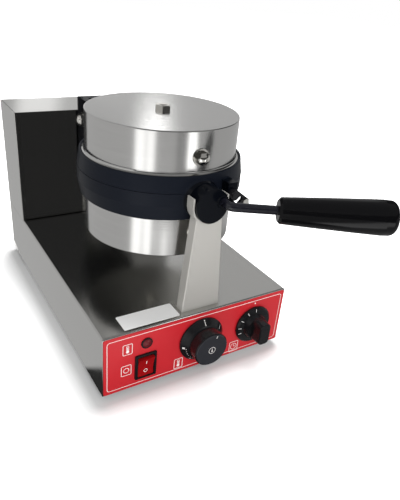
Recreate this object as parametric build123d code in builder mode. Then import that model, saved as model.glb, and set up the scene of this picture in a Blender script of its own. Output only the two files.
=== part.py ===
from build123d import *
from math import atan2, cos, degrees, hypot, radians, sin
import os

os.makedirs("parts", exist_ok=True)

# Rotating waffle maker. Millimetres, +X to the right, +Y to the back, +Z up.
# The origin is on the table under the middle of the casing's footprint.

# Casing
case_width = 250.0
case_height = 80.0
case_wall = 1.2
case_fold = 2.0
case_lip = 14.0
floor_inset = 6.0
foot_height = 6.8
foot_radius = 11.0
foot_inset = 32.0
tower_depth = 78.0
tower_over = 29.0
tower_flange = 5.0
sheet_seam = 0.4
panel_thick = 0.8
panel_side_margin = 1.0
panel_top_margin = 2.0
panel_bottom_margin = 0.4
panel_corner = 2.5
floor_corner = 4.0
vent_slot = (20.0, 4.0)
vent_pitch = (26.0, 13.0)
vent_count = (5, 9)
wire_slot = (70.0, 30.0)
foot_recess = 4.2
foot_taper = 1.9
screw_radius = 2.0
screw_head = 4.0
screw_head_thick = 2.0
screw_gap = 0.1
foot_screw_length = 12.0
back_screw_length = 8.0
through_cut = 10.0

# Head: two round plates that turn about a level axis running front to back
head_x = 2.0
deck_gap = 15.9
ring_gap = 5.7
ring_lean = 2.8
ring_band = 15.8
rim_width = 2.2
rim_rise = 26.0
lower_rim_width = 1.8
ring_drop = 24.5
seam_rise = 7.6
seam_gap = 0.3
grid_floor = 12.0
plate_thick = 8.0
peg_pitch = 17.0
peg_base = 11.5
peg_gap = 5.2
peg_draft = 9.0
ridge_width = 3.5
ridge_height = 7.5
ridge_end = 1.5
grid_sink = 0.5
cover_radius = 90.5
cover_reach = 72.8
cover_wall = 1.0
cover_top = 2.0
cover_hem = 1.0
cover_foot_wall = 1.2
cover_hole_depth = 4.0
cover_edge = 1.2
cover_flare = 3.0
seat_depth = 2.0
seat_width = 12.0
cover_gap = 1.3
heater_inset = 28.0
heater_tube = 4.0
clamp_inset = 12.0
clamp_thick = 2.5
clamp_hole = 7.0
clamp_hole_ring = 32.0
tail_gap = 1.5
wool_gap = 1.5
wool_core = 6.0
stud_radius = 5.0
stud_depth = 5.0
stud_play = 1.0
stud_bevel = 0.8
nut_flat = 8.5
nut_corner = 9.9
nut_face = 8.0
nut_bevel = 1.1
cover_nut_thick = 6.0
nut_rise = 44.0
front_nut_radius = 4.0
front_nut_depth = 9.0
dome_nut_washer = 9.6
dome_nut_height = 9.0
dome_nut_hex = 7.5
dome_nut_flat = 4.8
dome_nut_step = 1.0
dome_nut_cap = 6.0
washer_thick = 1.6

# Front journal, post and saddle
journal_radius = 20.0
flare_radius = 25.0
saddle_gap = 0.3
saddle_wall = 2.0
saddle_depth = 13.0
saddle_rise = 10.0
post_setback = 8.5
post_depth = 13.0
post_foot_width = 51.0
post_top_width = 33.0
post_wall = 1.5
post_foot_thick = 3.0
post_bolt_pitch = 24.0
post_bolt_radius = 2.5
post_bolt_length = 14.0
post_bolt_hex = 4.6
post_bolt_head = 3.6
post_bolt_nut = 4.0
post_high = -12.0
flare_lip = 1.5
flare_waist = 1.2
journal_sink = 5.0
disc_thick = 3.0
fit_gap = 0.05

# Rear yoke, hinge and shaft
yoke_width = 78.0
yoke_half_height = 49.0
yoke_cheek = 10.0
yoke_web = 9.0
yoke_gap = 2.5
yoke_room = 26.0
hinge_rise = 22.0
hinge_setback = 27.0
hinge_radius = 5.0
eye_radius = 11.0
arm_gap = 0.4
arm_low = 9.5
arm_over = 10.0
arm_plate = 6.0
arm_rib = 20.0
arm_rib_reach = 15.0
boss_bolt_x = 18.5
upper_bolt_rise = 17.0
lower_bolt_rise = -15.0
boss_bolt_radius = 3.0
boss_bolt_depth = 12.0
boss_bolt_length = 16.0
boss_bolt_head = (5.0, 3.5)
yoke_shelf = -6.0
yoke_floor = -36.0
yoke_toe = 20.0
yoke_chamfer = (6.0, 8.0)
yoke_lip_rise = 16.0
yoke_lip_back = 10.6
yoke_bolt_wall = 7.0
cap_nut_washer = (10.2, 1.8)
cap_nut_hex = (8.4, 6.6)
cap_nut_dome = (7.0, 7.8)
cap_nut_height = 12.0
boss_stand = 9.2
boss_width = 52.0
arm_reach = 49.0
shaft_radius = 15.0
shaft_bore = 10.0
shoulder_radius = 20.0
shoulder_thick = 3.0
bush_wall = 2.9
housing_radius = 22.0
housing_length = 42.0
housing_flange = 6.0
flange_width = 74.0
flange_tall = 54.0
flange_bolts = (58.0, 38.0)
flange_bolt_radius = 3.0
flange_bolt_hex = 5.6
flange_bolt_head = 4.0
flange_corner = 8.0
washer_width = 11.0
shaft_tail = 6.0
bracket_side = 55.0
bracket_foot = 28.0
bracket_under = 8.0
bracket_slot = (70.0, 16.0)
bracket_thick = 3.0
collar_radius = 20.0
collar_width = 10.0
stop_radius = 26.5
stop_wall = 6.0
stop_bar = 10.0
stop_root = 6.0

# Handle
rod_radius = 5.0
rod_offset = 12.0
rod_rise = 4.0
rod_bend = 8.0
rod_lead = 14.6
rod_socket = 2.4
rod_collar = 1.6
rod_collar_wall = 2.6
grip_share = 0.55
grip_nose = 2.5
grip_swell = 0.9
grip_tail = 16.0
handle_lead = 30.0
handle_start = 50.0
grip_length = 128.0
grip_small = 14.3
grip_large = 19.5

# Latch
latch_x = 33.0
latch_rise = 6.0
latch_front = 13.5
latch_thick = 4.0
latch_hang = 36.0
latch_slot = 11.0
latch_pin = 2.5
pin_shank = 1.6
pin_boss_wall = 1.6
latch_screw = 2.0
latch_screw_head = (4.2, 2.2)
latch_half = 5.5
lug_radius = 6.0
lug_rise = 12.0
lug_depth = 10.0
finger_point = (18.5, 0.5)
finger_screw = 1.5
finger_hex = (4.2, 3.0)
latch_play = 0.35

# Tower back, cable gland and terminal block
tower_foot = 14.0
shaft_hole_gap = 2.0
back_screw_edge = 6.0
louvre_x = -25.0
louvre_slot = (70.0, 3.6)
louvre_pitch = 9.0
louvre_count = 8
gland_side = 55.0
gland_height = 32.0
gland_radius = 8.0
gland_nut = 12.5
gland_nut_thick = 5.0
gland_cone = 10.5
gland_cone_length = 10.0
gland_inside = 12.0
cord_radius = 4.2
terminal_side = 55.0
terminal_back = 135.0
terminal_pitch = 14.0
terminal_foot = 6.0
terminal_tall = 10.0

# Controls on the front panel, given from the casing's sides, middle and lower edge
lamp_side = 52.6
lamp_height = 59.6
lamp_radius = 7.0
switch_side = 52.0
switch_height = 28.0
switch_width = 27.0
switch_tall = 34.0
rocker_tilt = 8.0
thermostat_x = 0.0
thermostat_height = 42.5
thermostat_skirt = 29.7
thermostat_cap = 21.6
timer_side = 47.5
timer_height = 40.0
timer_skirt = 26.0
knob_gap = 1.5
spindle_radius = 3.0
spindle_reach = 17.5
spindle_inside = 16.0
knob_bore = 18.0
thermostat_reach = 26.5
timer_reach = 28.0
timer_bar = (19.0, 32.0, 7.0)
timer_bar_start = 6.0
bush_radius = 5.0
lamp_flange = 1.4
lamp_body = 22.0
lens_wall = 1.6
lens_depth = 5.0
lens_edge = 1.6
lens_rise = 3.4
tab_thick = 0.8
tab_width = 6.3
tab_length = 8.0
switch_lip = 2.0
switch_bezel = 2.6
switch_body_depth = 20.0
rocker_half = 13.4
rocker_side_gap = 0.4
rocker_pivot_depth = 4.0
rocker_pin = 1.6

# Levels and places that follow from the sizes above
flare_foot = cover_radius + cover_flare
rim_inner = flare_foot + cover_gap
rim_radius = rim_inner + rim_width
lower_rim_radius = rim_inner + lower_rim_width
rim_core = rim_inner + lower_rim_width / 2
ring_radius = rim_radius + ring_lean
grid_radius = ring_radius - ring_band
heater_radius = grid_radius - heater_inset
clamp_radius = grid_radius - clamp_inset
boss_reach = ring_radius + boss_stand
case_depth = (
    post_setback + post_depth + ring_gap + ring_radius + boss_reach + arm_reach + hinge_setback + tower_depth
)
axis_rise = round(hypot(cover_radius, cover_reach) + deck_gap, 1)
tower_rise = axis_rise + tower_over
lamp_x = lamp_side - case_width / 2
switch_x = switch_side - case_width / 2
timer_x = case_width / 2 - timer_side
case_bottom = foot_height + case_wall
deck_z = case_bottom + case_height
tower_top = deck_z + tower_rise
front_y = -case_depth / 2
back_y = case_depth / 2
tower_face = back_y - tower_depth
panel_y = front_y - panel_thick
post_front = front_y + post_setback
ring_front = post_front + post_depth + ring_gap
head_y = ring_front + ring_radius
axis_z = deck_z + axis_rise
hinge_y = tower_face - hinge_setback
hinge_z = axis_z + hinge_rise
yoke_back = tower_face - yoke_gap
web_front = yoke_back - yoke_web
boss_face = head_y + boss_reach
saddle_back = post_front + saddle_depth
disc_back = post_front - 1.0
disc_front = disc_back - disc_thick
saddle_inner = journal_radius + saddle_gap
saddle_outer = saddle_inner + saddle_wall
upper_seam = seam_rise + seam_gap / 2
lower_seam = seam_rise - seam_gap / 2
plate_back = grid_floor + plate_thick
seat_rise = rim_rise - seat_depth
seat_inner = rim_inner - seat_width
head_line = Axis((head_x, head_y, axis_z), (0, 0, 1))
turn_line = Axis((head_x, head_y, axis_z), (0, -1, 0))
head_section = Plane((head_x, head_y, axis_z), x_dir=(1, 0, 0), z_dir=(0, -1, 0))
middle_plane = Plane.XY.offset(axis_z)


def level(height):
    """A plane facing up at a height from the turning axis, centred on the head."""
    return Plane((head_x, head_y, axis_z + height))


def facing_down(height):
    """A plane facing down at a height from the turning axis, centred on the head."""
    return Plane((head_x, head_y, axis_z + height), x_dir=(1, 0, 0), z_dir=(0, 0, -1))


def facing_front(y):
    """A plane facing the user at depth y, centred on the turning axis."""
    return Plane((head_x, y, axis_z), x_dir=(1, 0, 0), z_dir=(0, -1, 0))


def side_view(x):
    """A plane facing right, whose local x is depth and local y is height above the turning axis."""
    return Plane((x, 0, axis_z), x_dir=(0, 1, 0), z_dir=(1, 0, 0))


def panel_point(x, height):
    """A plane facing the user on the panel's face, centred on a control."""
    return Plane((x, panel_y, case_bottom + height), x_dir=(1, 0, 0), z_dir=(0, -1, 0))


def knob_section(x, height):
    """A plane through a control's axis: local x is radius and local y is the distance out of the panel."""
    return Plane((x, panel_y, case_bottom + height), x_dir=(1, 0, 0), z_dir=(0, 0, -1))


def knob_line(x, height):
    """The axis that a control turns about."""
    return Axis((x, panel_y, case_bottom + height), (0, -1, 0))


def dome_arc(radius, low, high):
    """A round cap's outline from its rim at (radius, low) to its top at (0, high), for a revolve."""
    rise = high - low
    ball = (radius**2 + rise**2) / (2 * rise)
    start = degrees(atan2(ball - rise, radius))
    return CenterArc((0, high - ball), ball, start, 90 - start)


def save(part, name):
    """Names a finished piece and writes its file."""
    part.label = name
    export_step(part, f"parts/{name}.step")


# Casing

foot_points = [
    (x * (case_width / 2 - foot_inset), y * (case_depth / 2 - foot_inset)) for x in (-1, 1) for y in (-1, 1)
]
post_bolt_points = [
    (head_x + side * post_bolt_pitch / 2, post_front + (post_depth + post_wall) / 2) for side in (-1, 1)
]
wire_hole_y = tower_face + tower_depth / 2
switch_cut = (switch_width - 2 * switch_lip, switch_tall - 2 * switch_lip)
lamp_hole = lamp_radius - 1.2

with BuildPart() as base_housing:
    with BuildSketch(Plane.XY.offset(case_bottom)):
        Rectangle(case_width, case_depth)
    extrude(amount=case_height)
    fillet(base_housing.faces().sort_by(Axis.Z)[-1].edges(), radius=case_fold)
    with BuildSketch(Plane.XY.offset(case_bottom)):
        Rectangle(case_width - 2 * case_wall, case_depth - 2 * case_wall)
    extrude(amount=case_height - case_wall, mode=Mode.SUBTRACT)
    with BuildSketch(Plane.XY.offset(case_bottom)):
        Rectangle(case_width - 2 * case_wall, case_depth - 2 * case_wall)
        Rectangle(case_width - 2 * case_lip, case_depth - 2 * case_lip, mode=Mode.SUBTRACT)
    extrude(amount=case_wall)
    with BuildSketch(panel_point(lamp_x, lamp_height)):
        Circle(lamp_hole)
    extrude(amount=-through_cut, mode=Mode.SUBTRACT)
    with BuildSketch(panel_point(switch_x, switch_height)):
        Rectangle(*switch_cut)
    extrude(amount=-through_cut, mode=Mode.SUBTRACT)
    for x, height in ((thermostat_x, thermostat_height), (timer_x, timer_height)):
        with BuildSketch(panel_point(x, height)):
            Circle(bush_radius + fit_gap)
        extrude(amount=-through_cut, mode=Mode.SUBTRACT)
    with BuildSketch(Plane.XY.offset(deck_z)):
        with Locations(*post_bolt_points):
            Circle(post_bolt_radius + fit_gap)
        with Locations((0, wire_hole_y)):
            SlotOverall(*wire_slot)
    extrude(amount=-through_cut, mode=Mode.SUBTRACT)
save(base_housing.part, "base_housing")

with BuildPart() as base_floor:
    with BuildSketch(Plane.XY.offset(foot_height)):
        RectangleRounded(case_width - 2 * floor_inset, case_depth - 2 * floor_inset, floor_corner)
        with Locations(*foot_points):
            Circle(screw_radius + screw_gap, mode=Mode.SUBTRACT)
        with GridLocations(*vent_pitch, *vent_count):
            SlotOverall(*vent_slot, mode=Mode.SUBTRACT)
    extrude(amount=case_wall)
save(base_floor.part, "base_floor")

foot_bore = screw_radius + 2 * screw_gap
foot_counterbore = screw_head + 0.6
with BuildPart() as feet:
    for x, y in foot_points:
        foot_plane = Plane((x, y, 0), x_dir=(1, 0, 0), z_dir=(0, -1, 0))
        with BuildSketch(foot_plane):
            with BuildLine():
                Polyline(
                    (foot_counterbore, 0), (foot_radius - foot_taper - 0.5, 0), (foot_radius - foot_taper, 0.5),
                    (foot_radius, foot_height), (foot_bore, foot_height), (foot_bore, foot_recess),
                    (foot_counterbore, foot_recess), close=True
                )
            make_face()
        revolve(axis=Axis((x, y, 0), (0, 0, 1)))
save(feet.part, "feet")

with BuildPart() as foot_screws:
    for x, y in foot_points:
        with BuildSketch(Plane((x, y, foot_recess - screw_head_thick))):
            Circle(screw_head)
        extrude(amount=screw_head_thick)
        with BuildSketch(Plane((x, y, foot_recess - screw_head_thick))):
            Circle(screw_radius)
        extrude(amount=foot_screw_length)
save(foot_screws.part, "foot_screws")

panel_tall = case_height - panel_top_margin - panel_bottom_margin
panel_middle = case_bottom + panel_bottom_margin + panel_tall / 2
with BuildPart() as control_panel:
    with BuildSketch(Plane((0, front_y, panel_middle), x_dir=(1, 0, 0), z_dir=(0, -1, 0))):
        RectangleRounded(case_width - 2 * panel_side_margin, panel_tall, panel_corner)
    extrude(amount=panel_thick)
    with BuildSketch(panel_point(lamp_x, lamp_height)):
        Circle(lamp_hole)
    extrude(amount=-panel_thick, mode=Mode.SUBTRACT)
    with BuildSketch(panel_point(switch_x, switch_height)):
        Rectangle(*switch_cut)
    extrude(amount=-panel_thick, mode=Mode.SUBTRACT)
    for x, height in ((thermostat_x, thermostat_height), (timer_x, timer_height)):
        with BuildSketch(panel_point(x, height)):
            Circle(bush_radius + fit_gap)
        extrude(amount=-panel_thick, mode=Mode.SUBTRACT)
save(control_panel.part, "control_panel")

# Tower: a front and top sheet between two folded side panels, and a screwed back

side_gap = case_wall + sheet_seam
wrap_half = case_width / 2 - tower_flange - sheet_seam
with BuildPart() as tower_wrap:
    with BuildSketch(Plane((0, tower_face, 0), x_dir=(1, 0, 0), z_dir=(0, -1, 0))):
        with Locations((0, (deck_z + tower_top) / 2)):
            Rectangle(2 * wrap_half, tower_rise)
    extrude(amount=-case_wall)
    with BuildSketch(Plane.XY.offset(tower_top)):
        with Locations((0, back_y - tower_depth / 2)):
            Rectangle(2 * (case_width / 2 - side_gap), tower_depth)
    extrude(amount=-case_wall)
    front_top = tower_wrap.edges().filter_by(Axis.X).group_by(Axis.Y)[0].sort_by(Axis.Z)[-1]
    fillet(front_top, radius=case_fold / 2)
    with BuildSketch(facing_front(tower_face)):
        Circle(shaft_radius + shaft_hole_gap)
    extrude(amount=-case_wall, mode=Mode.SUBTRACT)
save(tower_wrap.part, "tower_wrap")


def tower_side(sign):
    """A tower side panel with its narrow flanges folded round onto the front, the top and the deck."""
    outer = case_width / 2
    with BuildPart() as side:
        with BuildSketch(Plane.XY.offset(deck_z)):
            with Locations((sign * (outer - case_wall / 2), back_y - tower_depth / 2)):
                Rectangle(case_wall, tower_depth)
        extrude(amount=tower_rise - sheet_seam)
        with BuildSketch(Plane.XY.offset(deck_z)):
            with Locations((sign * (outer - tower_flange / 2), tower_face + case_wall / 2)):
                Rectangle(tower_flange, case_wall)
        extrude(amount=tower_rise - case_wall - sheet_seam)
        with BuildSketch(Plane.XY.offset(deck_z)):
            with Locations((sign * (outer - tower_foot / 2), back_y - tower_depth / 2)):
                Rectangle(tower_foot, tower_depth - 2 * case_wall - 1)
        extrude(amount=case_wall)
        corner = side.edges().filter_by(Axis.Z).group_by(Axis.Y)[0].sort_by(Axis.X)[0 if sign < 0 else -1]
        fillet(corner, radius=case_fold / 2)
    return side.part


for sign, name in ((-1, "tower_side_left"), (1, "tower_side_right")):
    save(tower_side(sign), name)

back_half = case_width / 2 - case_wall - sheet_seam
back_tall = tower_rise - case_wall - sheet_seam
gland_x = case_width / 2 - gland_side
gland_z = deck_z + gland_height
back_screw_levels = (deck_z + 12, axis_z - 55, tower_top - 14)
back_screws = [(x * (back_half - back_screw_edge), z) for x in (-1, 1) for z in back_screw_levels]
back_plane = Plane((0, back_y, 0), x_dir=(-1, 0, 0), z_dir=(0, 1, 0))
with BuildPart() as tower_back:
    with BuildSketch(back_plane):
        with Locations((0, deck_z + back_tall / 2)):
            Rectangle(2 * back_half, back_tall)
        with Locations(*back_screws):
            Circle(screw_radius + screw_gap, mode=Mode.SUBTRACT)
        with Locations((-gland_x, gland_z)):
            Circle(gland_radius + fit_gap, mode=Mode.SUBTRACT)
        with Locations((louvre_x, deck_z + tower_rise * 0.55)):
            with GridLocations(1, louvre_pitch, 1, louvre_count):
                SlotOverall(*louvre_slot, mode=Mode.SUBTRACT)
    extrude(amount=-case_wall)
save(tower_back.part, "tower_back")

with BuildPart() as tower_screws:
    for x, z in back_screws:
        with BuildSketch(Plane((-x, back_y, z), x_dir=(-1, 0, 0), z_dir=(0, 1, 0))):
            Circle(screw_head)
        extrude(amount=screw_head_thick, taper=20)
        with BuildSketch(Plane((-x, back_y, z), x_dir=(-1, 0, 0), z_dir=(0, 1, 0))):
            Circle(screw_radius)
        extrude(amount=-back_screw_length)
save(tower_screws.part, "tower_screws")

gland_face = Plane((gland_x, back_y, gland_z), x_dir=(-1, 0, 0), z_dir=(0, 1, 0))
gland_reach = gland_nut_thick + gland_cone_length
with BuildPart() as cable_gland:
    with BuildSketch(gland_face):
        RegularPolygon(gland_nut, 6)
    extrude(amount=gland_nut_thick)
    with BuildSketch(gland_face.offset(gland_nut_thick)):
        Circle(gland_cone)
    extrude(amount=gland_cone_length, taper=12)
    with BuildSketch(gland_face):
        Circle(gland_radius)
    extrude(amount=-gland_inside)
    with BuildSketch(gland_face.offset(gland_reach)):
        Circle(cord_radius)
    extrude(amount=-(gland_reach + gland_inside), mode=Mode.SUBTRACT)
save(cable_gland.part, "cable_gland")

# Front post: a tapering folded channel, open at the back, with a saddle strip bent round its hollow top

post_low = deck_z - axis_z
with BuildPart() as front_post:
    with BuildSketch(facing_front(post_front)):
        with BuildLine():
            Polyline(
                (-post_foot_width / 2, post_low), (post_foot_width / 2, post_low),
                (post_top_width / 2, post_high), (-post_top_width / 2, post_high), close=True
            )
        make_face()
    extrude(amount=-post_depth)
    folds = front_post.faces().sort_by(Axis.Y)[0].edges().sort_by(Axis.X)
    fillet([folds[0], folds[-1]], radius=post_wall)
    with BuildSketch(facing_front(post_front + post_wall)):
        with BuildLine():
            Polyline(
                (-post_foot_width / 2 + post_wall, post_low + post_foot_thick),
                (post_foot_width / 2 - post_wall, post_low + post_foot_thick),
                (post_top_width / 2 - post_wall, post_high), (-post_top_width / 2 + post_wall, post_high),
                close=True
            )
        make_face()
    extrude(amount=-post_depth, mode=Mode.SUBTRACT)
    with BuildSketch(facing_front(post_front)):
        Circle(saddle_outer + fit_gap)
    extrude(amount=-post_depth, mode=Mode.SUBTRACT)
    with BuildSketch(Plane.XY.offset(deck_z)):
        with Locations(*post_bolt_points):
            Circle(post_bolt_radius + fit_gap)
    extrude(amount=post_foot_thick, mode=Mode.SUBTRACT)
save(front_post.part, "front_post")

with BuildPart() as post_saddle:
    with BuildSketch(facing_front(post_front)):
        Circle(saddle_outer)
        with Locations((0, saddle_rise / 2)):
            Rectangle(2 * saddle_outer, saddle_rise)
        Circle(saddle_inner, mode=Mode.SUBTRACT)
        with Locations((0, saddle_rise / 2)):
            Rectangle(2 * saddle_inner, saddle_rise, mode=Mode.SUBTRACT)
        with Locations((0, saddle_rise + saddle_outer)):
            Rectangle(3 * saddle_outer, 2 * saddle_outer, mode=Mode.SUBTRACT)
    extrude(amount=-saddle_depth)
    tips = post_saddle.faces().sort_by(Axis.Z)[-2:]
    fillet([edge for tip in tips for edge in tip.edges().filter_by(Axis.Y)], radius=saddle_wall * 0.4)
save(post_saddle.part, "post_saddle")

with BuildPart() as post_bolts:
    for x, y in post_bolt_points:
        with BuildSketch(Plane((x, y, deck_z + post_foot_thick))):
            RegularPolygon(post_bolt_hex, 6)
        extrude(amount=post_bolt_head)
        with BuildSketch(Plane((x, y, deck_z + post_foot_thick))):
            Circle(post_bolt_radius)
        extrude(amount=-post_bolt_length)
        with BuildSketch(Plane((x, y, deck_z - case_wall))):
            RegularPolygon(post_bolt_hex, 6)
        extrude(amount=-post_bolt_nut)
save(post_bolts.part, "post_bolts")

# Waffle plates: two castings whose pegged faces meet over the batter


def waffle_grid(floor):
    """The pegs and the cross ridges that stand on a plate's cooking floor."""
    count = 2 * int(grid_radius / peg_pitch)
    offsets = [(i - (count - 1) / 2) * peg_pitch for i in range(count)]
    reach = grid_radius - peg_base * 0.75
    pegs = [(x, y) for x in offsets for y in offsets if hypot(x, y) < reach]
    root = floor.offset(-grid_sink)
    with BuildPart() as grid:
        with BuildSketch(root):
            with Locations(*pegs):
                Rectangle(peg_base, peg_base)
        extrude(amount=grid_floor - peg_gap / 2 + grid_sink, taper=peg_draft)
        with BuildSketch(root):
            Rectangle(2 * (grid_radius - ridge_end), ridge_width)
            Rectangle(ridge_width, 2 * (grid_radius - ridge_end))
        extrude(amount=ridge_height + grid_sink)
    return grid.part


def journal_sector(low, high):
    """Draws the journal's circle kept between two heights."""
    Circle(journal_radius)
    with Locations((0, (low + high) / 2)):
        Rectangle(3 * journal_radius, high - low, mode=Mode.INTERSECT)


def journal_flare(keep):
    """The flared root that carries the journal on the ring, on one side of the seam."""
    lip = saddle_back + flare_lip
    waist = (journal_radius + flare_waist, ring_front - 1)
    with BuildPart() as flare:
        with BuildSketch(Plane((head_x, 0, axis_z), x_dir=(1, 0, 0), z_dir=(0, 0, 1))):
            with BuildLine():
                Line((0, lip), (journal_radius, lip))
                ThreePointArc((journal_radius, lip), waist, (flare_radius, journal_root))
                Polyline((flare_radius, journal_root), (0, journal_root), (0, lip))
            make_face()
        revolve(axis=turn_line)
        split(bisect_by=level(keep * seam_gap / 2 + seam_rise), keep=Keep.TOP if keep > 0 else Keep.BOTTOM)
        with BuildSketch(level(keep * plate_back)):
            Circle(rim_core)
        extrude(amount=keep * 40, mode=Mode.SUBTRACT)
    return flare.part


journal_root = ring_front + journal_sink
boss_root = ring_radius - 12.0
latch_y = front_y + latch_front
lug_y = latch_y + latch_thick + seam_gap
lug_top = latch_rise + lug_rise
stud_hole = stud_radius + fit_gap
boss_bolt_hole = boss_bolt_radius + fit_gap
upper_bolts = [(-boss_bolt_x, upper_bolt_rise), (boss_bolt_x, upper_bolt_rise)]
lower_bolts = [(-boss_bolt_x, lower_bolt_rise), (boss_bolt_x, lower_bolt_rise)]

with BuildPart() as upper_casting:
    with BuildSketch(head_section):
        with BuildLine():
            FilletPolyline(
                (0, grid_floor), (grid_radius, grid_floor), (grid_radius + 2.5, upper_seam),
                (ring_radius, upper_seam), (rim_radius, rim_rise), (rim_inner, rim_rise),
                (rim_inner, seat_rise), (seat_inner, seat_rise), (seat_inner, plate_back), (0, plate_back),
                radius=0.5
            )
            Line((0, plate_back), (0, grid_floor))
        make_face()
    revolve(axis=head_line)
    add(waffle_grid(facing_down(grid_floor)))
    with BuildSketch(facing_front(journal_root)):
        journal_sector(upper_seam, journal_radius)
    extrude(amount=journal_root - disc_back)
    add(journal_flare(1))
    with BuildSketch(facing_front(disc_back)):
        Circle(journal_radius)
    extrude(amount=disc_thick, taper=3)
    with BuildSketch(facing_front(disc_front)):
        with Locations((rod_offset, rod_rise)):
            Circle(rod_radius + rod_collar_wall)
    extrude(amount=rod_collar, taper=25)
    with BuildSketch(level(upper_seam)):
        with Locations((0, (boss_reach + boss_root) / 2)):
            Rectangle(boss_width, boss_reach - boss_root)
        Circle(rim_core, mode=Mode.SUBTRACT)
    extrude(amount=rim_rise - upper_seam)
    with BuildSketch(facing_front(lug_y)):
        with Locations((latch_x, latch_rise)):
            Circle(lug_radius)
        with Locations((latch_x, (latch_rise + lug_top) / 2)):
            Rectangle(2 * lug_radius, lug_rise)
    extrude(amount=-lug_depth)
    with BuildSketch(facing_front(lug_y + lug_depth)):
        with Locations((latch_x, (upper_seam + lug_top) / 2)):
            Rectangle(2 * lug_radius, lug_top - upper_seam)
    extrude(amount=-12)
    with BuildSketch(facing_front(disc_front - rod_collar)):
        with Locations((rod_offset, rod_rise)):
            Circle(rod_radius + fit_gap)
    extrude(amount=-(rod_collar + rod_socket), mode=Mode.SUBTRACT)
    with BuildSketch(facing_front(lug_y)):
        with Locations((latch_x, latch_rise)):
            Circle(latch_screw + fit_gap)
    extrude(amount=-8, mode=Mode.SUBTRACT)
    with BuildSketch(level(plate_back)):
        Circle(stud_hole)
    extrude(amount=-stud_depth, mode=Mode.SUBTRACT)
    with BuildSketch(facing_front(boss_face)):
        with Locations(*upper_bolts):
            Circle(boss_bolt_hole)
    extrude(amount=boss_bolt_depth, mode=Mode.SUBTRACT)
save(upper_casting.part, "upper_casting")

pin_rise = latch_rise - latch_slot
pin_boss_low = pin_rise - 7.0
with BuildPart() as lower_casting:
    with BuildSketch(head_section):
        with BuildLine():
            FilletPolyline(
                (0, -grid_floor), (grid_radius, -grid_floor), (grid_radius + 3, lower_seam),
                (ring_radius, lower_seam), (ring_radius, -seam_rise), (lower_rim_radius, -ring_drop),
                (rim_inner, -ring_drop), (rim_inner, -seat_rise), (seat_inner, -seat_rise),
                (seat_inner, -plate_back), (0, -plate_back), radius=0.2
            )
            Line((0, -plate_back), (0, -grid_floor))
        make_face()
    revolve(axis=head_line)
    add(waffle_grid(level(-grid_floor)))
    with BuildSketch(facing_front(journal_root)):
        journal_sector(-journal_radius, lower_seam)
    extrude(amount=journal_root - post_front)
    add(journal_flare(-1))
    with BuildSketch(level(lower_seam)):
        with Locations((0, (boss_reach + boss_root) / 2)):
            Rectangle(boss_width, boss_reach - boss_root)
        Circle(rim_core, mode=Mode.SUBTRACT)
    extrude(amount=-(lower_seam + ring_drop))
    with BuildSketch(facing_front(lug_y + 12.6)):
        with Locations((latch_x, (lower_seam + pin_boss_low) / 2)):
            Rectangle(2 * lug_radius, lower_seam - pin_boss_low)
    extrude(amount=-8)
    with BuildSketch(facing_front(lug_y)):
        with Locations((latch_x, pin_rise)):
            Circle(latch_pin + pin_boss_wall)
    extrude(amount=-14)
    with BuildSketch(facing_front(lug_y)):
        with Locations((latch_x, pin_rise)):
            Circle(pin_shank + fit_gap)
    extrude(amount=-9, mode=Mode.SUBTRACT)
    with BuildSketch(level(-plate_back)):
        Circle(stud_hole)
    extrude(amount=stud_depth, mode=Mode.SUBTRACT)
    with BuildSketch(facing_front(boss_face)):
        with Locations(*lower_bolts):
            Circle(boss_bolt_hole)
    extrude(amount=boss_bolt_depth, mode=Mode.SUBTRACT)
save(lower_casting.part, "lower_casting")

# Covers, heaters and insulation, the same above and below the turning axis

hem_top = seat_rise + cover_hem
flare_top = hem_top + cover_flare
cover_inside = cover_radius - cover_wall
cover_ceiling = cover_reach - cover_top
cover_foot = flare_foot - cover_foot_wall
with BuildPart() as upper_cover:
    with BuildSketch(head_section):
        with BuildLine():
            Polyline((0, cover_reach), (cover_radius - cover_edge, cover_reach))
            RadiusArc(
                (cover_radius - cover_edge, cover_reach), (cover_radius, cover_reach - cover_edge), cover_edge
            )
            Line((cover_radius, cover_reach - cover_edge), (cover_radius, flare_top))
            RadiusArc((cover_radius, flare_top), (flare_foot, hem_top), -cover_flare)
            Polyline((flare_foot, hem_top), (flare_foot, seat_rise), (cover_foot, seat_rise))
            RadiusArc((cover_foot, seat_rise), (cover_inside, flare_top), cover_flare + cover_wall)
            Polyline(
                (cover_inside, flare_top), (cover_inside, cover_ceiling), (0, cover_ceiling), (0, cover_reach)
            )
        make_face()
    revolve(axis=head_line)
    with BuildSketch(level(cover_reach)):
        Circle(stud_hole)
    extrude(amount=-cover_hole_depth, mode=Mode.SUBTRACT)
    with BuildSketch(facing_front(head_y - cover_radius)):
        with Locations((0, nut_rise)):
            Circle(front_nut_radius + fit_gap)
    extrude(amount=-cover_hole_depth, both=True, mode=Mode.SUBTRACT)
save(upper_cover.part, "upper_cover")

heater_z = plate_back + heater_tube + fit_gap
terminal_rise = 24.0
terminal_angle = 12.0
terminal_x = -heater_radius * cos(radians(terminal_angle))
terminal_y = heater_radius * sin(radians(terminal_angle))
terminal_points = [(terminal_x, -terminal_y), (terminal_x, terminal_y)]
with BuildPart() as upper_heater:
    start = 180 - terminal_angle
    heater_start = Plane(
        (
            head_x + heater_radius * cos(radians(-start)),
            head_y + heater_radius * sin(radians(-start)),
            axis_z + heater_z,
        ),
        x_dir=(0, 0, 1), z_dir=(-sin(radians(-start)), cos(radians(-start)), 0)
    )
    with BuildSketch(heater_start):
        Circle(heater_tube)
    revolve(axis=head_line, revolution_arc=2 * start)
    with BuildSketch(level(heater_z)):
        with Locations(*terminal_points):
            Circle(heater_tube * 0.85)
    extrude(amount=terminal_rise)
save(upper_heater.part, "upper_heater")

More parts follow.
